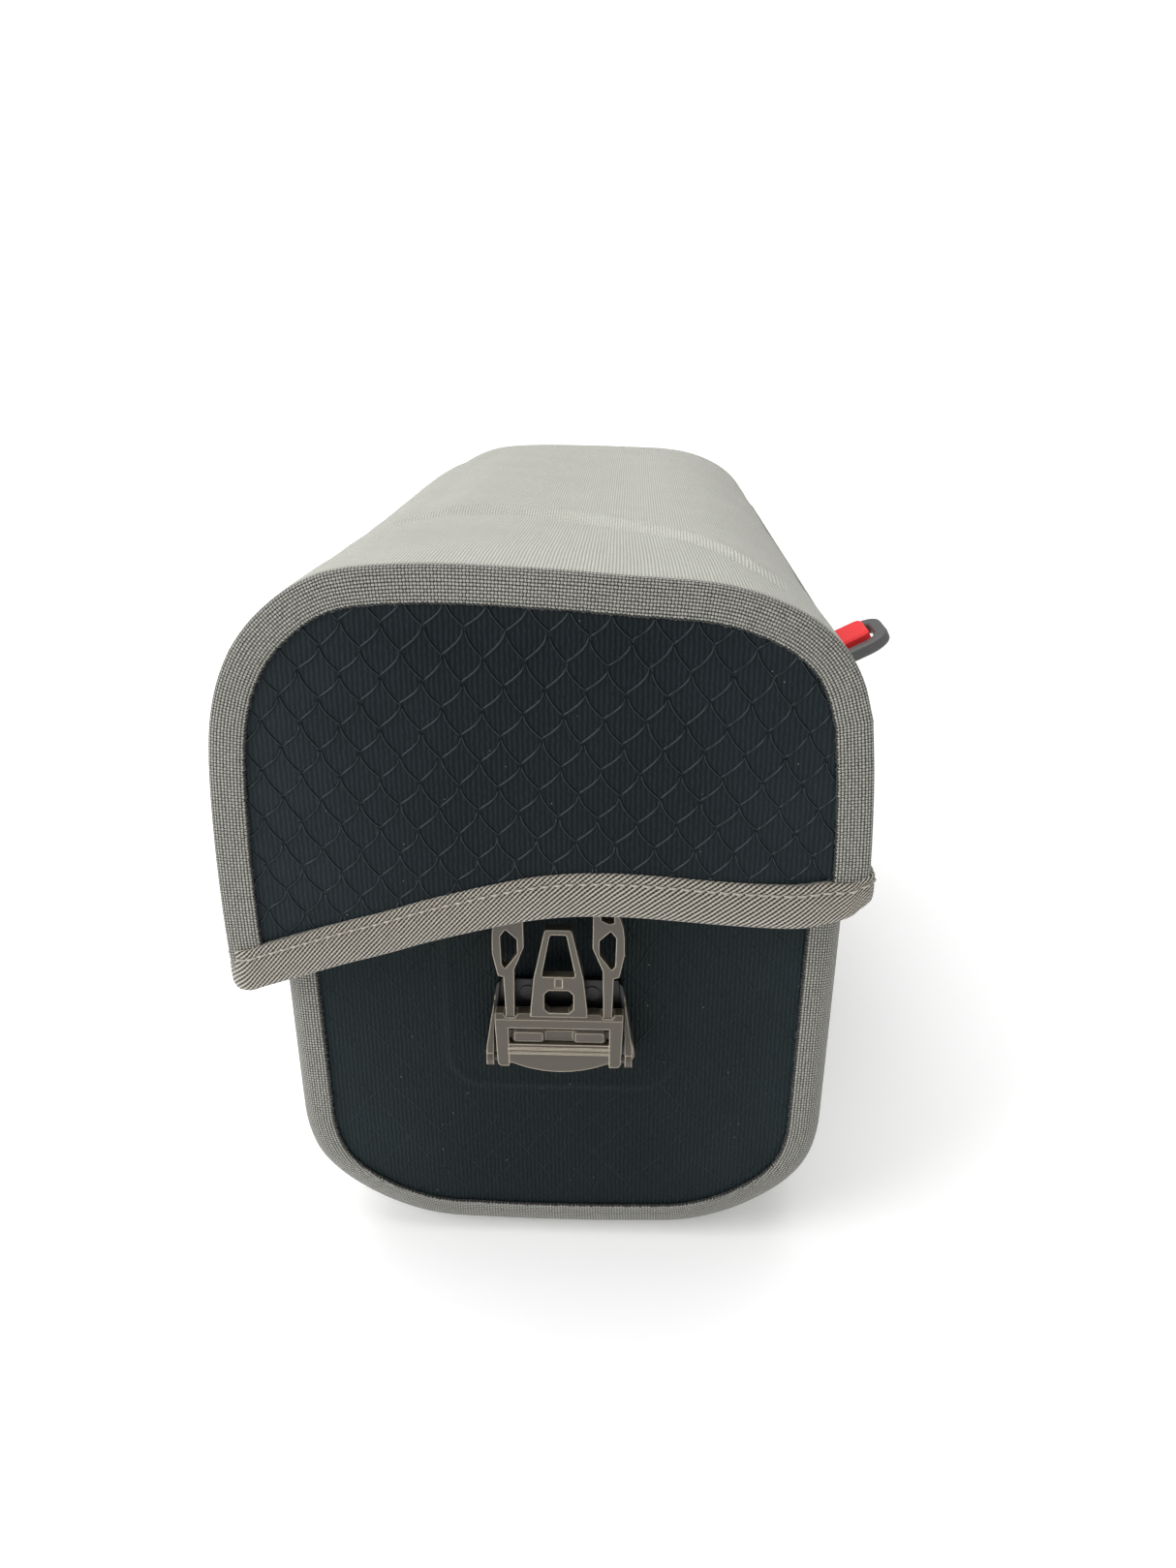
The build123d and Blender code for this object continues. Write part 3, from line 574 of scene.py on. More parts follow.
def lid_hood():
    soup = Soup()
    ys, rows = hood_rows()
    c = rows.shape[1]
    u = lengths(full_section(0))
    uv = texture_grid(ys, u)[..., ::-1]
    skip = np.zeros((len(ys) - 1, c - 1), bool)
    for i in range(len(ys) - 1):
        if max(abs(ys[i]), abs(ys[i + 1])) < EAR_Y + 1.6:
            skip[i, NS - 1:] = True
    soup.grid(rows, uv, skip)
    hood = soup.make("lid_shell_skin", M["top"], "lid", ["lid_shell"], thick=1.1)
    for sign, end in ((-1, "right"), (1, "left")):
        band = Soup()
        p = full_section(sign * LID_L)
        n = -normals2(p) * OUT_SIGN
        n = np.stack([np.convolve(np.pad(n[:, k], 4, "edge"), np.ones(9) / 9, "valid") for k in (0, 1)], 1)
        rings = end_rings(RIDGE_R, BAND, LID_L)
        grid, tex, s = [], [], lengths(p)
        for d, y in rings:
            q = p - n * d
            grid.append(np.column_stack([q[:, 0], np.full(len(q), sign * y), q[:, 1]]))
            tex.append(np.column_stack([s, np.full(len(s), d + y)]))
        grid = np.array(grid)
        grid[0] = rows[0 if sign < 0 else -1]
        band.grid(grid, np.array(tex), flip=sign < 0)
        band.make("lid_band_" + end, M["band"], "lid", thick=0.5)
        edge = p - n * BAND
        fringe(edge, sign, lambda q: np.full(len(q), LID_L), "lid", "lid_fringe_" + end, 92)
    return hood


def fringe(edge, sign, depth, body, name, low):
    """The band's cut edge: a row of small thread loops of slightly varied size and place."""
    soup = Soup()
    pts = even(edge, int(lengths(edge)[-1] / 1.02))
    halves = depth(pts)
    r = np.random.default_rng(5)
    a = np.linspace(0, math.tau, 7, endpoint=False)
    t = tangents(pts)
    for p, d, half in zip(pts, t, halves):
        if p[1] < low:
            continue
        side = np.array([-d[1], d[0]])
        size = r.uniform(0.46, 0.62)
        shift = r.normal(0, 0.1)
        centre = p + side * shift
        rings = []
        for phi in np.radians([-60, -25, 15, 55, 88]):
            w, h = math.cos(phi) * size, math.sin(phi) * 0.42
            xz = centre + np.outer(np.cos(a) * w * 1.1, d) + np.outer(np.sin(a) * w * 0.85, side)
            rings.append(np.column_stack([xz[:, 0], np.full(len(a), sign * (half - 0.25 + h)), xz[:, 1]]))
        soup.grid(np.array(rings), wrap=True, flip=sign > 0)
    soup.make(name, M["band"], body)


# ------------------------------------------------------------------ the lid's tape
LOW_EDGE = [(-78.5, 91.6), (-68.8, 94.8), (-53.2, 100.0), (-42.7, 103.1), (-32, 106.6),
            (-22, 109.4), (-15, 111.2),
            (-7.8, 112.9), (0, 114.1), (7.9, 114.7), (17, 114.7), (25.8, 114.2),
            (37, 113.3), (48, 112.6), (57.4, 112.3),
            (63, 112.8), (71.1, 115.2), (75.0, 117.6)]
TAPE_H = 11.6


def tape_path():
    """The lid's lower edge from the back of the right end, round the front, to the back of the left end."""
    out = 0.25
    x1, x0, y1, r = 76.4 + out, -82.2 - out, LID_L + out + 0.2, 5.5
    low = np.array(LOW_EDGE)
    end = spline(low[::-1], 110)
    back_z, front_z = 119.6, 91.4
    a = np.radians(np.linspace(0, 90, 7))
    rb = 2.0
    path = [(x1, -y, back_z) for y in (EAR_Y, EAR_Y + 3, EAR_Y + 6, y1 - rb - 1)]
    path += [(x1 - rb + rb * math.cos(t), -(y1 - rb + rb * math.sin(t)), back_z - 1.2 * k / 6)
             for k, t in enumerate(a)]
    inner = end[(end[:, 0] < x1 - rb - 1) & (end[:, 0] > x0 + r + 1)]
    path += [(x, -y1, z) for x, z in inner]
    path += [(x0 + r - r * math.sin(t), -(y1 - r + r * math.cos(t)), front_z + 0.4 * (1 - k / 6))
             for k, t in enumerate(a)]
    half = np.array(path)
    ys = np.linspace(-(y1 - r) + 4, 0, 40)
    front = np.column_stack([np.full(40, x0), ys, front_z + 0.5 * waves(ys, 0, 120, 9)])
    half = np.vstack([half, front])
    other = half[:-1][::-1] * np.array([1, -1, 1])
    full = np.vstack([half, other])
    return even(full, 700)


def soften(values, k):
    return np.stack([np.convolve(np.pad(values[:, i], k, "edge"), np.ones(2 * k + 1) / (2 * k + 1), "valid")
                     for i in range(values.shape[1])], 1)


def lid_tape():
    path = soften(tape_path(), 1)
    flat = path.copy()
    flat[:, 2] = 0
    _, n, _ = frames(flat, (0, 0, 1))
    n = -n if (n[350, 0] > 0) else n
    outer = [(-0.1, TAPE_H + 0.1), (0.55, TAPE_H), (0.85, TAPE_H - 0.7), (0.8, TAPE_H - 1.9),
             (0.62, TAPE_H - 2.4),
             (0.8, TAPE_H - 3.0), (0.95, 7.0), (1.0, 4.0), (0.85, 1.6), (0.35, 0.3), (-0.8, -0.4)]
    inner = [(-3.0, -0.4), (-4.2, 0.3), (-4.7, 1.6), (-4.8, 4.0),
             (-4.8, 8.0), (-4.6, TAPE_H - 1), (-4.0, TAPE_H)]
    section = np.array(outer + inner)
    s = lengths(path)
    ruffle = 0.16 * np.sin(s / 3.2 * math.tau) + 0.25 * waves(s, s * 0, 60, 21)
    grid = np.empty((len(path), len(section), 3))
    for j, (o, h) in enumerate(section):
        k = smoothstep(h, 6, TAPE_H) if j < len(outer) else 0
        grid[:, j] = path + n * (o + ruffle * 0.35 * k)[:, None] + np.outer(h + 0.25 * ruffle * k, (0, 0, 1))
    squeeze = 0.62 + 0.38 * smoothstep(np.minimum(s, s[-1] - s), 10, 26)
    base_z = path[:, 2] + (1 - squeeze) * 0.6
    grid[..., 2] = base_z[:, None] + (grid[..., 2] - path[:, 2:3]) * squeeze[:, None]
    w = lengths(section)
    uv = texture_grid(s, w)
    soup = Soup()
    soup.grid(grid, uv, flip=True)
    m = len(section)
    soup.add(grid[0], [tuple(range(m))[::-1]], uv[0])
    soup.add(grid[-1], [tuple(range(m))], uv[-1])
    close = np.stack([grid[:, -1], grid[:, 0]], 1)
    soup.grid(close, np.stack([uv[:, -1], uv[:, 0]], 1), flip=True)
    soup.make("lid_tape", M["tape"], "lid", ["lid_binding"], clean="outside")
    thread = Soup()
    row = path + n * 0.72
    row[:, 2] = base_z + (TAPE_H - 2.4) * squeeze
    stitches(thread, row, n, pitch=3.1, length=2.5, radius=0.27)
    thread.make("lid_tape_stitches", M["thread"], "lid")


# ------------------------------------------------------------------ the lid's end panels
def lid_panel_bounds(sign):
    p = full_section(sign * LID_L)
    n = -normals2(p) * OUT_SIGN
    return p - n * (BAND - 1.2)


def lid_panel(sign, end):
    q = lid_panel_bounds(sign)
    xs = np.linspace(q[:NS // 2, 0].min() + 0.02, q[NS:, 0].max() - 0.02, 130)
    upper = q[q[:, 1] > 135]
    upper = upper[np.argsort(upper[:, 0])]
    low = np.array(LOW_EDGE)
    z_top = np.interp(xs, upper[:, 0], upper[:, 1])
    z_low = np.interp(xs, low[:, 0], low[:, 1]) + 7.0
    z_low = np.minimum(z_low, z_top - 1)
    t = np.linspace(0, 1, 60)
    x = np.broadcast_to(xs[:, None], (130, 60))
    z = z_low[:, None] * (1 - t) + z_top[:, None] * t
    y = panel_depth(x, z)
    soup = Soup()
    soup.grid(np.stack([x, sign * y, z], -1), np.stack([x, z], -1), flip=sign < 0)
    soup.make("lid_panel_skin_" + end, M["panel"], "lid", ["lid_panel_" + end], thick=0.8)


def panel_depth(x, z):
    """How far the lid's end panel lies from the middle of the bag: it puffs out a little."""
    r = ((np.asarray(x) + 3) / 70) ** 4 + ((np.asarray(z) - 140) / 50) ** 4
    return LID_L - 0.75 + (1.0 + 0.25 * waves(x, z, 55, 31)) * (1 - smoothstep(r, 0.1, 0.85))


def scale_lines(sign, end):
    """Raised lines round the scales: each scale has two bowed lower edges that meet in a point."""
    soup = Soup()
    w, h, tilt = 4.7, 6.25, math.radians(-3.6)
    ct, st = math.cos(tilt), math.sin(tilt)
    p = full_section(sign * LID_L)
    n = -normals2(p) * OUT_SIGN
    bound = p - n * (BAND - 0.3)
    low = np.array(LOW_EDGE)
    r = np.random.default_rng(11)
    a = np.linspace(0, math.pi, 5)
    upper = bound[bound[:, 1] > 130]
    upper = upper[np.argsort(upper[:, 0])]
    x_min, x_max = bound[:NS, 0].min(), bound[NS:, 0].max()
    for j in range(-20, 21):
        for i in range(-12, 13):
            bx = (i + 0.5 * (j % 2)) * 2 * w
            bz = j * h
            jitter = r.normal(0, 0.22, (3, 2))
            tip = np.array([bx, bz - 0.25]) + jitter[0]
            for side in (-1, 1):
                start = np.array([bx + side * (w - 0.3), bz + h - 0.15]) + jitter[1 if side < 0 else 2] * 0.8
                bulge = np.array([side * (0.75 if side < 0 else 0.95), -0.4]) * (0.8 + 0.4 * r.random())
                k = np.linspace(0, 1, 15)[:, None]
                q = start * (1 - k) + tip * k + bulge * np.sin(math.pi * k ** 0.75)
                x = -3 + q[:, 0] * ct - q[:, 1] * st
                z = 148 + q[:, 0] * st + q[:, 1] * ct
                if sign > 0:
                    x = -6 - x
                inside = (x > x_min + 0.1) & (x < x_max - 0.1)
                inside &= z < np.interp(x, upper[:, 0], upper[:, 1])
                inside &= z > np.interp(x, low[:, 0], low[:, 1]) + 10.0
                run = np.flatnonzero(inside)
                if len(run) < 3:
                    continue
                x, z = x[run[0]:run[-1] + 1], z[run[0]:run[-1] + 1]
                y = panel_depth(x, z)
                path = np.column_stack([x, z])
                t = tangents(path)
                o = np.stack([-t[:, 1], t[:, 0]], 1)
                taper = np.clip(np.minimum(np.arange(len(x)), np.arange(len(x))[::-1]) / 2 + 0.35, 0, 1)
                width, height = 0.32 * taper, 0.34 * taper
                ring = []
                for ang in a:
                    xz = path + o * (np.cos(ang) * width)[:, None]
                    depth = sign * (y - 0.05 + np.sin(ang) * height)
                    ring.append(np.column_stack([xz[:, 0], depth, xz[:, 1]]))
                grid = np.stack(ring, 1)
                uv = texture_grid(x, np.arange(5))
                soup.grid(grid, uv, flip=sign < 0)
    soup.make("lid_scales_" + end, M["scale"], "lid", clean=False)


# ------------------------------------------------------------------ the body
def body_half(inset, top, y=0.0):
    """Half of the body's section from the middle of its underside to the rim. It is rounder near the ends."""
    w = smoothstep(abs(y), 85, 150)
    outer = BODY_R + 14 * w
    r, cx = outer - inset, BODY_W - outer
    a = np.radians(np.linspace(-90, -1, 30))
    arc = np.column_stack([cx + r * np.cos(a), outer + r * np.sin(a)])
    base = np.column_stack([np.linspace(0, cx - 0.5, 20), np.full(20, float(inset))])
    z = np.linspace(arc[-1, 1] + 2, top, 60)
    x = arc[-1, 0] + (z - arc[-1, 1]) * math.tan(BODY_LEAN)
    p = np.vstack([base, arc, np.column_stack([x, z])])
    p[:, 1] += 0.7 * w * smoothstep(p[:, 0], 4, 36) * (1 - smoothstep(p[:, 1], 2, 30))
    return p


def body_section(inset, top=RIM, y=0.0):
    half = body_half(inset, top, y)
    return np.vstack([half[::-1] * (-1, 1), half[1:]])


def outward(p):
    n = normals2(p)
    return -n if n[0, 0] > 0 or n[0, 1] > 0.5 else n


def body_swell(p, y, amount=1.0):
    """The walls' gentle swell and slack, in millimetres outward; none at the underside."""
    x, z = p[:, 0], p[:, 1]
    wall = smoothstep(z, 8, 60) * (1 - smoothstep(z, 120, 158))
    long_ = 1 - smoothstep(abs(y), 95, 148)
    return amount * wall * (1.1 * long_ + 0.8 * waves(z, y + np.sign(x) * 300, 80, 41)
                            * (1 - smoothstep(abs(y), 130, 150)))


def end_depth(q):
    """How far out the body's end face lies: it draws in a little towards the underside."""
    return BODY_L - 3.0 * (1 - np.clip(q[:, 1] / 55, 0, 1)) ** 2


def end_radius(n):
    """The body's end edges are rounder below than at the sides."""
    return 5.0 + 6.0 * smoothstep(-n[:, 1], 0.25, 0.95)


def band_width(n):
    return 9.0 + 2.8 * smoothstep(-n[:, 1], 0.35, 1.0)


def body_skin():
    soup = Soup()
    ys = np.linspace(-BODY_L + 18, BODY_L - 18, 96)
    rows = []
    for y in ys:
        q = body_section(0, RIM, y)
        q = q + outward(q) * body_swell(q, y)[:, None]
        rows.append(np.column_stack([q[:, 0], np.full(len(q), y), q[:, 1]]))
    rows = np.array(rows)
    u = lengths(body_section(0))
    tip = body_section(0, RIM, BODY_L)
    n = outward(tip)
    soup.grid(rows, texture_grid(ys, u)[..., ::-1], flip=True)
    soup.make("body_skin", M["side"], "bag", ["body_shell"], thick=1.1)
    for sign, end in ((-1, "right"), (1, "left")):
        band = Soup()
        grid, tex = [], []
        r, width, s = end_radius(n), band_width(n), lengths(tip)
        for k in np.linspace(0, 1, 9):
            t = k * math.pi / 2
            grid.append((r * (1 - math.cos(t)), -r + r * math.sin(t)))
        for k in np.linspace(0.15, 0.95, 4):
            grid.append((r + (width - r) * k, 0 * r + 0.1))
        grid += [(width, 0 * r - 0.1), (width + 0.05, 0 * r - 0.9), (width - 1.2, 0 * r - 0.9)]
        mesh = []
        for d, dy in grid:
            q = tip - n * d[:, None]
            mesh.append(np.column_stack([q[:, 0], sign * (end_depth(q) + dy), q[:, 1]]))
            tex.append(np.column_stack([s, d + dy]))
        join = rows[0 if sign < 0 else -1].copy()
        mesh.insert(0, join)
        tex.insert(0, np.column_stack([s, -(end_depth(tip) - np.abs(join[:, 1]))]))
        grid = np.array(mesh)
        band.grid(grid, np.array(tex), flip=sign > 0)
        band.make("body_band_" + end, M["band"], "bag", thick=0.5)
        edge = tip - n * width[:, None]
        fringe(edge, sign, end_depth, "bag", "body_fringe_" + end, 5)
        body_panel(sign, end)


def body_panel_depth(x, z):
    dx, dz = np.abs(np.asarray(x) - BX) - 20.5, np.abs(np.asarray(z) - 87) - 22.5
    patch = np.hypot(np.maximum(dx, 0), np.maximum(dz, 0)) + np.minimum(np.maximum(dx, dz), 0) - 11
    raised = 0.7 * (1 - smoothstep(patch, -1.4, 0.6)) + 0.3 * np.exp(-((patch + 1.6) / 0.8) ** 2)
    draw = 3.0 * (1 - np.clip(np.asarray(z) / 55, 0, 1)) ** 2
    return BODY_L - 0.75 - draw + raised + 0.12 * waves(x, z, 60, 51)


def body_panel(sign, end):
    top = RIM - 1
    half = body_half(0, RIM, BODY_L)
    n = outward(half)
    half = half - n * (band_width(n) - 1.1)[:, None]
    xs = np.linspace(-1, 1, 150)
    x_max = half[-1, 0]
    xs = xs * x_max
    side = half[np.argsort(half[:, 0])]
    low = np.interp(np.abs(xs), side[:, 0], side[:, 1])
    t = np.linspace(0, 1, 130)
    x = np.broadcast_to(xs[:, None], (150, 130))
    z = low[:, None] * (1 - t) + top * t
    soup = Soup()
    soup.grid(np.stack([x, sign * body_panel_depth(x, z), z], -1), np.stack([x, z], -1), flip=sign < 0)
    soup.make("body_panel_skin_" + end, M["body_panel"], "bag",
              ["end_panel_" + end, "buckle_patch_" + end], thick=0.6)


def mouth_tape():
    """Dark tape folded over the body's rim."""
    r = 7.0
    half_w = body_half(0, RIM)[-1, 0] - 0.1
    y1 = BODY_L - 0.2
    a = np.radians(np.linspace(0, 90, 9))[1:]
    path = []
    for k, (cx, cy) in enumerate(((half_w - r, y1 - r), (-half_w + r, y1 - r),
                                  (-half_w + r, -y1 + r), (half_w - r, -y1 + r))):
        for t in np.concatenate([[0], a]):
            ang = t + k * math.pi / 2
            path.append((cx + r * math.cos(ang), cy + r * math.sin(ang), RIM))
    path.append(path[0])
    path = even(np.array(path), 420)
    section = [(0.9, -10.5), (1.0, -9.5), (1.0, -2), (0.8, -0.2), (-0.2, 0.8), (-2.0, 1.2),
               (-3.8, 0.8), (-4.9, -0.2), (-5.0, -2),
               (-5.0, -9.5), (-4.8, -10.5)]
    _, n, _ = frames(path, (0, 0, 1))
    sec = np.array(section)
    grid = path[:, None] + n[:, None] * sec[None, :, :1] + np.array([0, 0, 1.0]) * sec[None, :, 1:]
    uv = texture_grid(lengths(path), lengths(sec))
    soup = Soup()
    soup.grid(grid, uv, flip=True)
    soup.make("mouth_tape", M["dark_tape"], "bag", ["mouth_binding"], thick=0.5)
    thread = Soup()
    stitches(thread, path + n * 1.0 + (0, 0, -8.2), n, radius=0.25)
    stitches(thread, path - n * 5.0 + (0, 0, -8.2), -n, radius=0.25)
    thread.make("mouth_stitches", M["dark_thread"], "bag")


def tub_rings(base, n, sign, inset):
    """Rings of the body's end, from the wall round the edge to the end face, at an inset from the skin."""
    r, out = np.maximum(end_radius(n) - inset, 2.0), []
    for k in np.linspace(0, 1, 7):
        t = k * math.pi / 2
        q = base - n * (r * (1 - math.cos(t)))[:, None]
        out.append(np.column_stack([q[:, 0], sign * (end_depth(q) - inset - r + r * math.sin(t)), q[:, 1]]))
    return out


def body_liner():
    soup = Soup()
    inset = 3.8
    base = body_section(inset, RIM - 1)
    u = lengths(base)
    ys = np.linspace(-BODY_L + 18, BODY_L - 18, 70)
    rows = []
    for y in ys:
        q = body_section(inset, RIM - 1, y)
        q = q + outward(q) * np.minimum(body_swell(q, y, 0.4), 0.2)[:, None]
        rows.append(np.column_stack([q[:, 0], np.full(len(q), y), q[:, 1]]))
    tip = body_section(inset, RIM - 1, BODY_L)
    n = outward(tip)
    rows = tub_rings(tip, n, -1, inset)[::-1] + rows + tub_rings(tip, n, 1, inset)
    rows = np.array(rows)
    v = np.abs(rows[:, :, 1])
    soup.grid(rows, np.stack([np.broadcast_to(u, v.shape), rows[:, :, 1]], -1))
    count = len(base) // 2
    for sign, ring in ((-1, rows[0]), (1, rows[-1])):
        left, right = ring[:count + 1], ring[count:][::-1]
        t = np.linspace(0, 1, 60)[None, :, None]
        sheet = left[:, None] * (1 - t) + right[:, None] * t
        x, z = sheet[..., 0], sheet[..., 2]
        sheet[..., 1] -= (sign * 0.5 * np.abs(waves(x, z, 60, 61)) * smoothstep(z, 8, 30)
                          * (1 - smoothstep(np.abs(x), 40, 62)))
        soup.grid(sheet, np.stack([x, z], -1), flip=sign < 0)
    soup.make("body_lining", M["liner"], "bag", ["liner"], thick=0.5)


def body_boards():
    """The stiffening boards between skin and lining: one under the bag and one in each end."""
    soup = Soup()
    x, y = np.meshgrid(np.linspace(-38, 38, 30), np.linspace(-136, 136, 70), indexing="ij")
    corner = np.hypot(np.maximum(np.abs(x) - 26, 0), np.maximum(np.abs(y) - 122, 0)) > 12
    soup.grid(np.stack([x, y, 0 * x + 2.4], -1), np.stack([x, y], -1), corner[:-1, :-1] | corner[1:, 1:])
    soup.make("base_board_sheet", M["board"], "bag", ["base_board"], thick=0.8)
    for sign, end in ((-1, "right"), (1, "left")):
        x, z = np.meshgrid(np.linspace(-60, 60, 60), np.linspace(17, 152, 60), indexing="ij")
        corner = np.hypot(np.maximum(np.abs(x) - 35, 0), np.maximum(46 - z, 0)) > 27
        d = end_depth(np.stack([x.ravel(), z.ravel()], 1)).reshape(x.shape) - 1.9
        soup = Soup()
        skip = corner[:-1, :-1] | corner[1:, 1:] | corner[1:, :-1] | corner[:-1, 1:]
        soup.grid(np.stack([x, sign * d, z], -1), np.stack([x, z], -1), skip, flip=sign < 0)
        soup.make("end_board_sheet_" + end, M["board"], "bag", ["end_board_" + end],
                  thick=1.4)


def lid_lining():
    soup = Soup()
    ys = np.linspace(-LID_L + 3.6, LID_L - 3.6, 90)
    rows = []
    for y in ys:
        p = full_section(y)
        n = -normals2(p) * OUT_SIGN
        q = p - n * (3.6 - np.minimum(crease(p, y), 0.3)[:, None])
        rows.append(np.column_stack([q[:, 0], np.full(len(q), y), q[:, 1]]))
    rows = np.array(rows)
    c = rows.shape[1]
    skip = np.zeros((len(ys) - 1, c - 1), bool)
    for i in range(len(ys) - 1):
        if max(abs(ys[i]), abs(ys[i + 1])) < EAR_Y + 1:
            skip[i, NS - 1:] = True
    u = lengths(full_section(0))
    soup.grid(rows, texture_grid(ys, u)[..., ::-1], skip, flip=True)
    q = full_section(LID_L) + normals2(full_section(LID_L)) * OUT_SIGN * 3.6
    upper = q[q[:, 1] > 140]
    upper = upper[np.argsort(upper[:, 0])]
    low = np.array(LOW_EDGE)
    xs = np.linspace(q[:NS, 0].min(), q[NS:, 0].max(), 100)
    z_top = np.interp(xs, upper[:, 0], upper[:, 1])
    z_low = np.minimum(np.interp(xs, low[:, 0], low[:, 1]) + 6, z_top - 1)
    t = np.linspace(0, 1, 50)
    x = np.broadcast_to(xs[:, None], (100, 50))
    z = z_low[:, None] * (1 - t) + z_top[:, None] * t
    for sign in (-1, 1):
        y = np.full_like(z, sign * (LID_L - 3.5))
        soup.grid(np.stack([x, y, z], -1), np.stack([x, z], -1), flip=sign > 0)
    soup.make("lid_lining", M["liner"], "lid", ["lid_liner"], thick=0.4)


def lid_stiffener():
    """The board that keeps the lid's top flat, between the skin and the lining."""
    soup = Soup()
    ys = np.linspace(-62, 150, 90)
    rows = []
    for y in ys:
        p = lid_section(y)
        n = -normals2(p) * OUT_SIGN
        q = p - n * (1.75 - crease(p, y)[:, None])
        keep = (lid_section(0)[:, 0] > -44) & (lid_section(0)[:, 0] < 37) & (lid_section(0)[:, 1] > 170)
        q = q[keep]
        rows.append(np.column_stack([q[:, 0], np.full(len(q), y), q[:, 1]]))
    rows = np.array(rows)
    soup.grid(rows, rows[:, :, :2])
    soup.make("lid_stiffener", M["board"], "lid", ["lid_board"], thick=1.3)


# ------------------------------------------------------------------ straps and hinge
def ribbon(name, path, width, thick, material, body, replaces=(), up=(0, 0, 1), closed_path=False):
    """A flat strap with softly rounded edges. Up is the direction of its width."""
    w, t = width / 2, thick / 2
    section = [(t, -w + t), (t, w - t), (0.5 * t, w - 0.2 * t), (-0.5 * t, w - 0.2 * t), (-t, w - t),
               (-t, -w + t),
               (-0.5 * t, -w + 0.2 * t), (0.5 * t, -w + 0.2 * t)]
    soup = Soup()
    sweep(soup, np.asarray(path, float), section, up=up, caps=not closed_path)
    return soup.make(name, material, body, replaces, clean="outside")


def socket_tabs():
    for sign, end in ((-1, "right"), (1, "left")):
        bar_z, bar_d = 149.5, 161.1
        loop = [(BX, sign * (bar_d + 2.0), z) for z in np.linspace(178, 151, 12)]
        bend = [(BX, sign * (bar_d + 2.2 * math.cos(t)), bar_z - 2.2 * math.sin(t))
                for t in np.radians(np.linspace(-10, 200, 16))]
        back = [(BX, sign * (bar_d + 0.6), z) for z in np.linspace(154, 176, 10)]
        path = spline(loop + bend + back, 90)
        ribbon("socket_webbing_" + end, path, 25.0, 1.1, M["webbing"], "lid",
               ["socket_tab_" + end], up=(1, 0, 0))


def post_strap():
    zc = 57.0
    half_l, gap = 79.0, 1.5
    x0 = 75.6
    pts = [(x0 + gap, y, zc) for y in np.linspace(-half_l + 3, half_l - 3, 60)]
    pts += [(x0 + gap * math.cos(a), half_l - 3 + 3 * math.sin(a), zc)
            for a in np.radians(np.linspace(15, 165, 9))]
    pts += [(x0 - gap, y, zc) for y in np.linspace(half_l - 3, -half_l + 3, 60)]
    pts += [(x0 + gap * math.cos(a), -half_l + 3 + 3 * math.sin(a), zc)
            for a in np.radians(np.linspace(195, 345, 9))]
    pts.append(pts[0])
    path = even(np.array(pts, float), 260)
    sag = 0.5 * np.sin(path[:, 1] / 34) * (np.abs(path[:, 1]) > 34)
    path[:, 2] += sag - 1.2 * smoothstep(np.abs(path[:, 1]), 40, 79)
    ribbon("post_strap_web", path, 25.0, 1.1, M["webbing"], "bag", ["post_strap"],
           closed_path=True)
    # the patch that the strap runs through, bar-tacked above and below
    soup = Soup()
    ys, zs = np.linspace(-32, 32, 70), np.linspace(38, 76, 50)
    y, z = np.meshgrid(ys, zs, indexing="ij")
    wall = BODY_W + (z - 30) * math.tan(BODY_LEAN) + 0.9
    over = smoothstep(z, 41, 45.5) * (1 - smoothstep(z, 68.5, 73))
    x = wall + 1.0 + over * 3.1 + 0.12 * waves(y, z, 30, 71)
    corner = np.hypot(np.maximum(np.abs(y) - 26, 0), np.maximum(np.abs(z - 57) - 13, 0)) > 6
    skip = corner[:-1, :-1] & corner[1:, 1:]
    soup.grid(np.stack([x, y, z], -1), np.stack([y, z], -1), skip, flip=True)
    soup.make("strap_patch_cloth", M["panel"], "bag", ["strap_patch"], thick=1.0)
    thread = Soup()
    for zz in (40.2, 73.8):
        yy = np.linspace(-30, 30, 80)
        xx = BODY_W + (zz - 30) * math.tan(BODY_LEAN) + 2.1
        stitches(thread, np.column_stack([np.full(80, xx), yy, np.full(80, zz)]), (1, 0, 0), radius=0.28)
    thread.make("strap_patch_stitches", M["thread"], "bag")


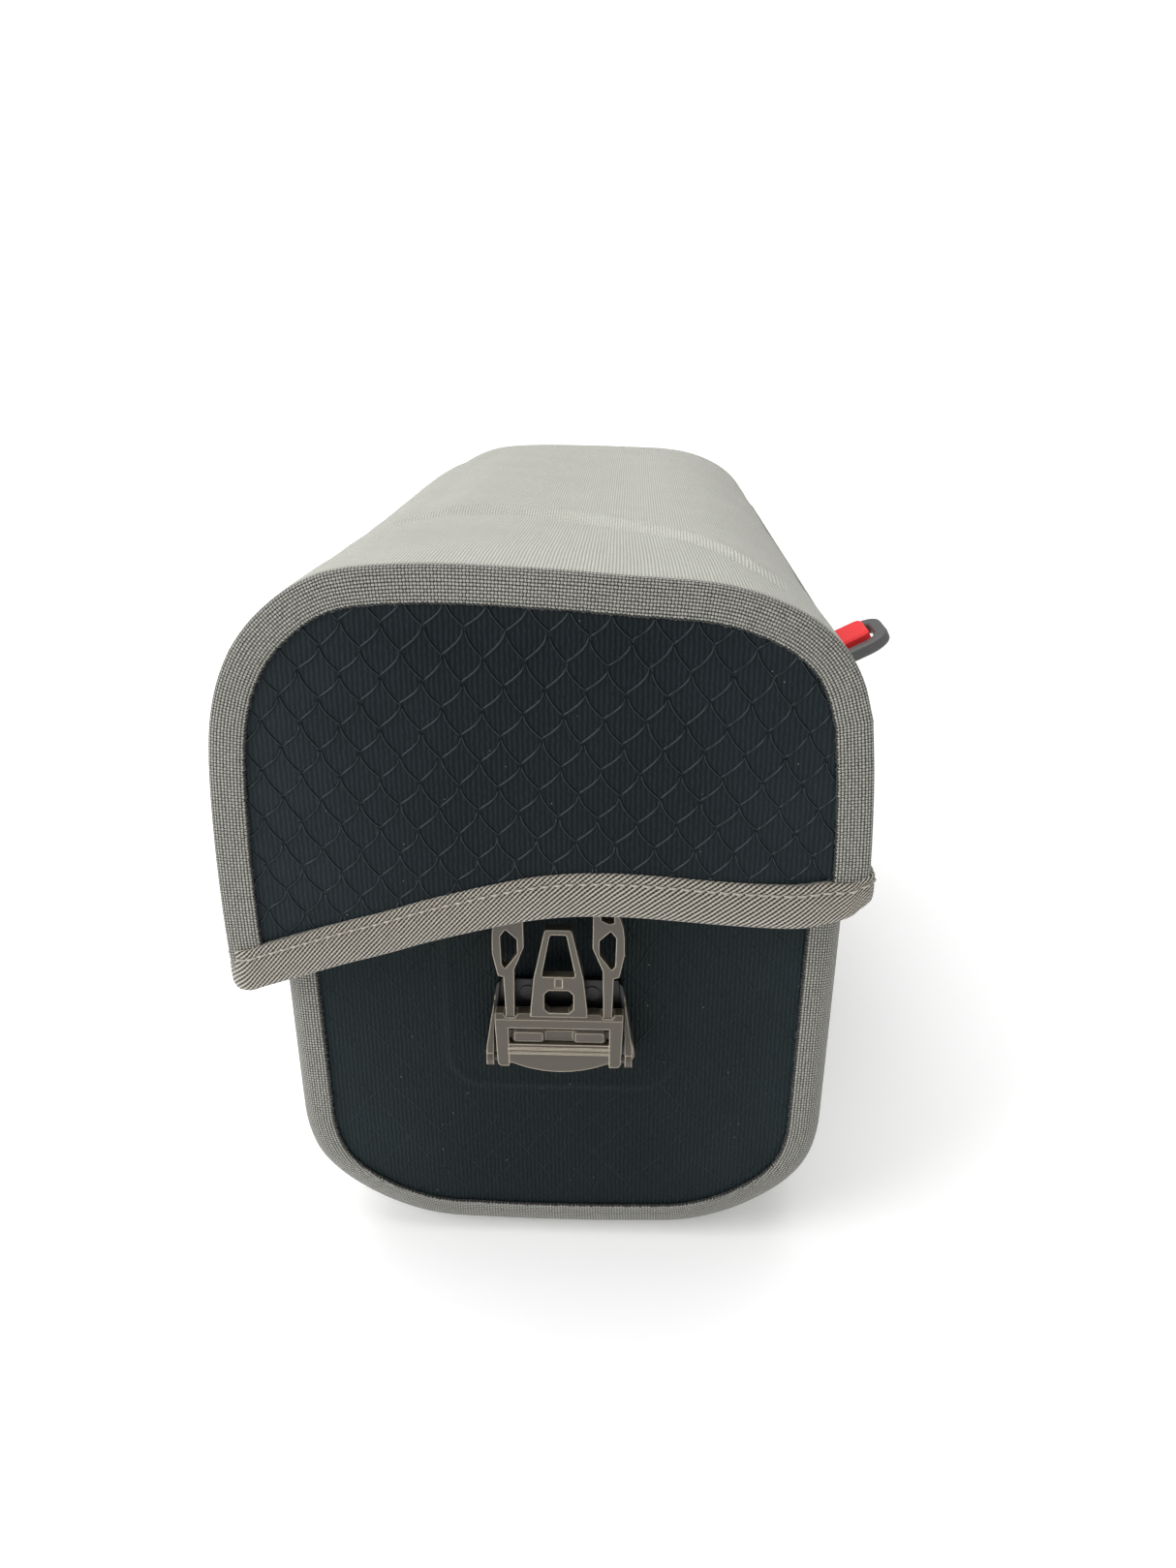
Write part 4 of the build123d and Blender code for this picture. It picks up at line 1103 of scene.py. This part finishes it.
def hinge_cloth():
    """The fabric hinge: one strip from the body's back, over the pivot, onto the lid."""
    ys = np.linspace(-138, 138, 140)
    low = spline([(76.2, 147), (76.3, 155), (76.3, 160), (75.9, 164.7)], 24)
    lower, upper = [], []
    for y in ys:
        off = 0.15 * waves(low[:, 1], y, 40, 81) * smoothstep(164.5 - low[:, 1], 0, 5)
        lower.append(np.column_stack([low[:, 0] + off, np.full(24, y), low[:, 1]]))
        p = lid_section(y)[NS // 2:][::-1]
        z = np.linspace(165.6, 172.5, 22)
        q = np.column_stack([np.interp(z, p[:, 1], p[:, 0]), z])
        q += outward_lid(q[::-1])[::-1] * (0.55 - 0.4 * smoothstep(z, 169, 172.5))[:, None]
        q = even(np.vstack([[(75.8, 164.9)], q]), 24)
        upper.append(np.column_stack([q[:, 0], np.full(24, y), q[:, 1]]))
    tex = texture_grid(ys, np.linspace(0, 12, 24))
    for name, rows, body, part in (("hinge_lower", lower, "bag", "hinge_strip"),
                                   ("hinge_upper", upper, "lid", "lid_hinge_flap")):
        rows = np.array(rows)
        soup = Soup()
        soup.grid(rows, tex, flip=True)
        if body == "bag":
            ring = [(0.85 * math.cos(a), 0.85 * math.sin(a))
                    for a in np.linspace(0, math.tau, 10, endpoint=False)]
            fold = Soup()
            sweep(fold, [(76.3, y, 165.0) for y in np.linspace(-138.3, 138.3, 80)], ring, up=(0, 0, 1))
            fold.make("hinge_fold", M["hinge"], "bag", clean="outside")
        soup.make(name, M["hinge"], body, [part], thick=0.6)
        thread = Soup()
        out = np.array([1.0, 0, 0]) if body == "bag" else np.array([0.86, 0, 0.5])
        for k in (2, 4) if body == "bag" else (12, 15):
            stitches(thread, even(rows[:, k], 90) + out * 0.1, out, radius=0.2)
        thread.make(name + "_stitches", M["grey_thread"], body)


# ------------------------------------------------------------------ carried-over CAD nodes
def finish_nodes():
    for name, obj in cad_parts.items():
        if obj.hide_render:
            continue
        if name.startswith(("buckle_frame", "prong", "socket", "buckle_pin")):
            key, width = "buckle", 0.32
        elif name.startswith("buckle_anchor"):
            key, width = "anchor", 0.32
        elif name.startswith("anchor_rivets"):
            key, width = "rivet", 0.15
        elif name.startswith(("rail_screws", "rail_nuts", "hook_screws", "hook_pin", "hook_spring")):
            key, width = "steel", 0.15
        elif name == "hook_body":
            key, width = "hook", 0.6
        elif name == "hook_lever":
            key, width = "red", 0.5
        elif name in ("mount_rail", "backing_strip"):
            key, width = "rail", 0.4
        else:
            key, width = "board", 0.3
        obj.data.materials.clear()
        obj.data.materials.append(M[key])
        if name != "hook_spring":
            mod = obj.modifiers.new("edges", "BEVEL")
            mod.width = width * MM
            mod.segments = 3
            mod.limit_method = "ANGLE"
            mod.angle_limit = math.radians(40)
            mod.harden_normals = False
        obj.data.polygons.foreach_set("use_smooth", [True] * len(obj.data.polygons))
        smooth = obj.modifiers.new("normals", "WEIGHTED_NORMAL")
        smooth.keep_sharp = True


# ------------------------------------------------------------------ studio
def studio():
    camera = bpy.data.objects.new("camera", bpy.data.cameras.new("camera"))
    scene.collection.objects.link(camera)
    camera.data.lens = 27.04
    camera.data.sensor_width = 36
    camera.location = (0.0178, -0.4245, 0.2506)
    yaw, pitch = math.radians(-2.09), math.radians(21.51)
    camera.rotation_euler = (math.pi / 2 - pitch, 0, -yaw)
    camera.data.clip_start = 0.01
    scene.camera = camera

    def disc(name, profile, material):
        """A surface turned round the vertical axis from (radius, height) pairs in metres."""
        count = 96
        ring = np.linspace(0, math.tau, count, endpoint=False)
        verts = [(r * math.cos(t), r * math.sin(t), z) for r, z in profile for t in ring]
        faces = [(k * count + i, (k + 1) * count + i, (k + 1) * count + (i + 1) % count,
                  k * count + (i + 1) % count)
                 for k in range(len(profile) - 1) for i in range(count)]
        mesh = bpy.data.meshes.new(name)
        mesh.from_pydata(verts, [], faces)
        mesh.polygons.foreach_set("use_smooth", [True] * len(mesh.polygons))
        mesh.materials.append(material)
        obj = bpy.data.objects.new(name, mesh)
        scene.collection.objects.link(obj)
        return obj

    m = Nodes("floor_paper", 0.85)
    m.set("Base Color", m.mix(m.noise(m.position(), 0.004, 3), (0.93, 0.93, 0.93), (0.95, 0.95, 0.95)))
    flat = m.node("VectorMath", {0: m.position(), 1: (1.0, 1.0, 0.0)}, operation="MULTIPLY").outputs[0]
    radius = m.node("VectorMath", {0: flat}, operation="LENGTH").outputs["Value"]
    glow = m.node("MapRange", {"Value": radius, "From Min": 420.0, "From Max": 1300.0, "To Max": 1.0},
                  interpolation_type="SMOOTHSTEP")
    m.set("Emission Strength", m.math("MULTIPLY_ADD", glow.outputs[0], 0.55, 0.26))
    m.set("Emission Color", (1.0, 1.0, 1.0, 1.0))
    floor = disc("floor", [(r, -0.0005) for r in np.linspace(0.001, 1.4, 15)], m.material)
    m = Nodes("backdrop_white", 1.0)
    m.set("Base Color", m.mix(m.noise(m.position(), 0.002, 1), (0.9, 0.9, 0.9), (0.92, 0.92, 0.92)))
    m.set("Emission Color", (1.0, 1.0, 1.0, 1.0))
    m.set("Emission Strength", 0.8)
    turn = [(3.0 + 1.5 * math.sin(a), 1.5 - 1.5 * math.cos(a) - 0.002)
            for a in np.radians(np.linspace(0, 90, 14))]
    backdrop = disc("backdrop", [(1.38, -0.002)] + turn + [(4.5, 5.0), (2.0, 7.0), (0.01, 7.2)], m.material)
    backdrop.visible_diffuse = False
    backdrop.visible_glossy = False
    backdrop.visible_shadow = False

    world = bpy.data.worlds.new("studio")
    scene.world = world
    world.use_nodes = True
    world.node_tree.nodes["Background"].inputs[0].default_value = (1, 1, 1, 1)
    world.node_tree.nodes["Background"].inputs[1].default_value = 0.4

    def area(name, location, target, size, power):
        light = bpy.data.lights.new(name, "AREA")
        light.shape = "RECTANGLE"
        light.size, light.size_y = size
        light.energy = power
        obj = bpy.data.objects.new(name, light)
        scene.collection.objects.link(obj)
        obj.location = location
        obj.rotation_euler = (Vector(target) - Vector(location)).to_track_quat("-Z", "Y").to_euler()

    area("overhead", (-0.3, 0.1, 1.6), (0, 0, 0.1), (1.9, 1.9), 25)
    area("left", (-1.3, -0.9, 0.9), (0, 0, 0.1), (0.9, 0.9), 13)
    scene.view_settings.view_transform = "Standard"
    scene.view_settings.look = "None"


lid_hood()
lid_tape()
for sign, end in ((-1, "right"), (1, "left")):
    lid_panel(sign, end)
    scale_lines(sign, end)
body_skin()
mouth_tape()
body_liner()
body_boards()
lid_lining()
lid_stiffener()
socket_tabs()
post_strap()
hinge_cloth()
finish_nodes()
studio()
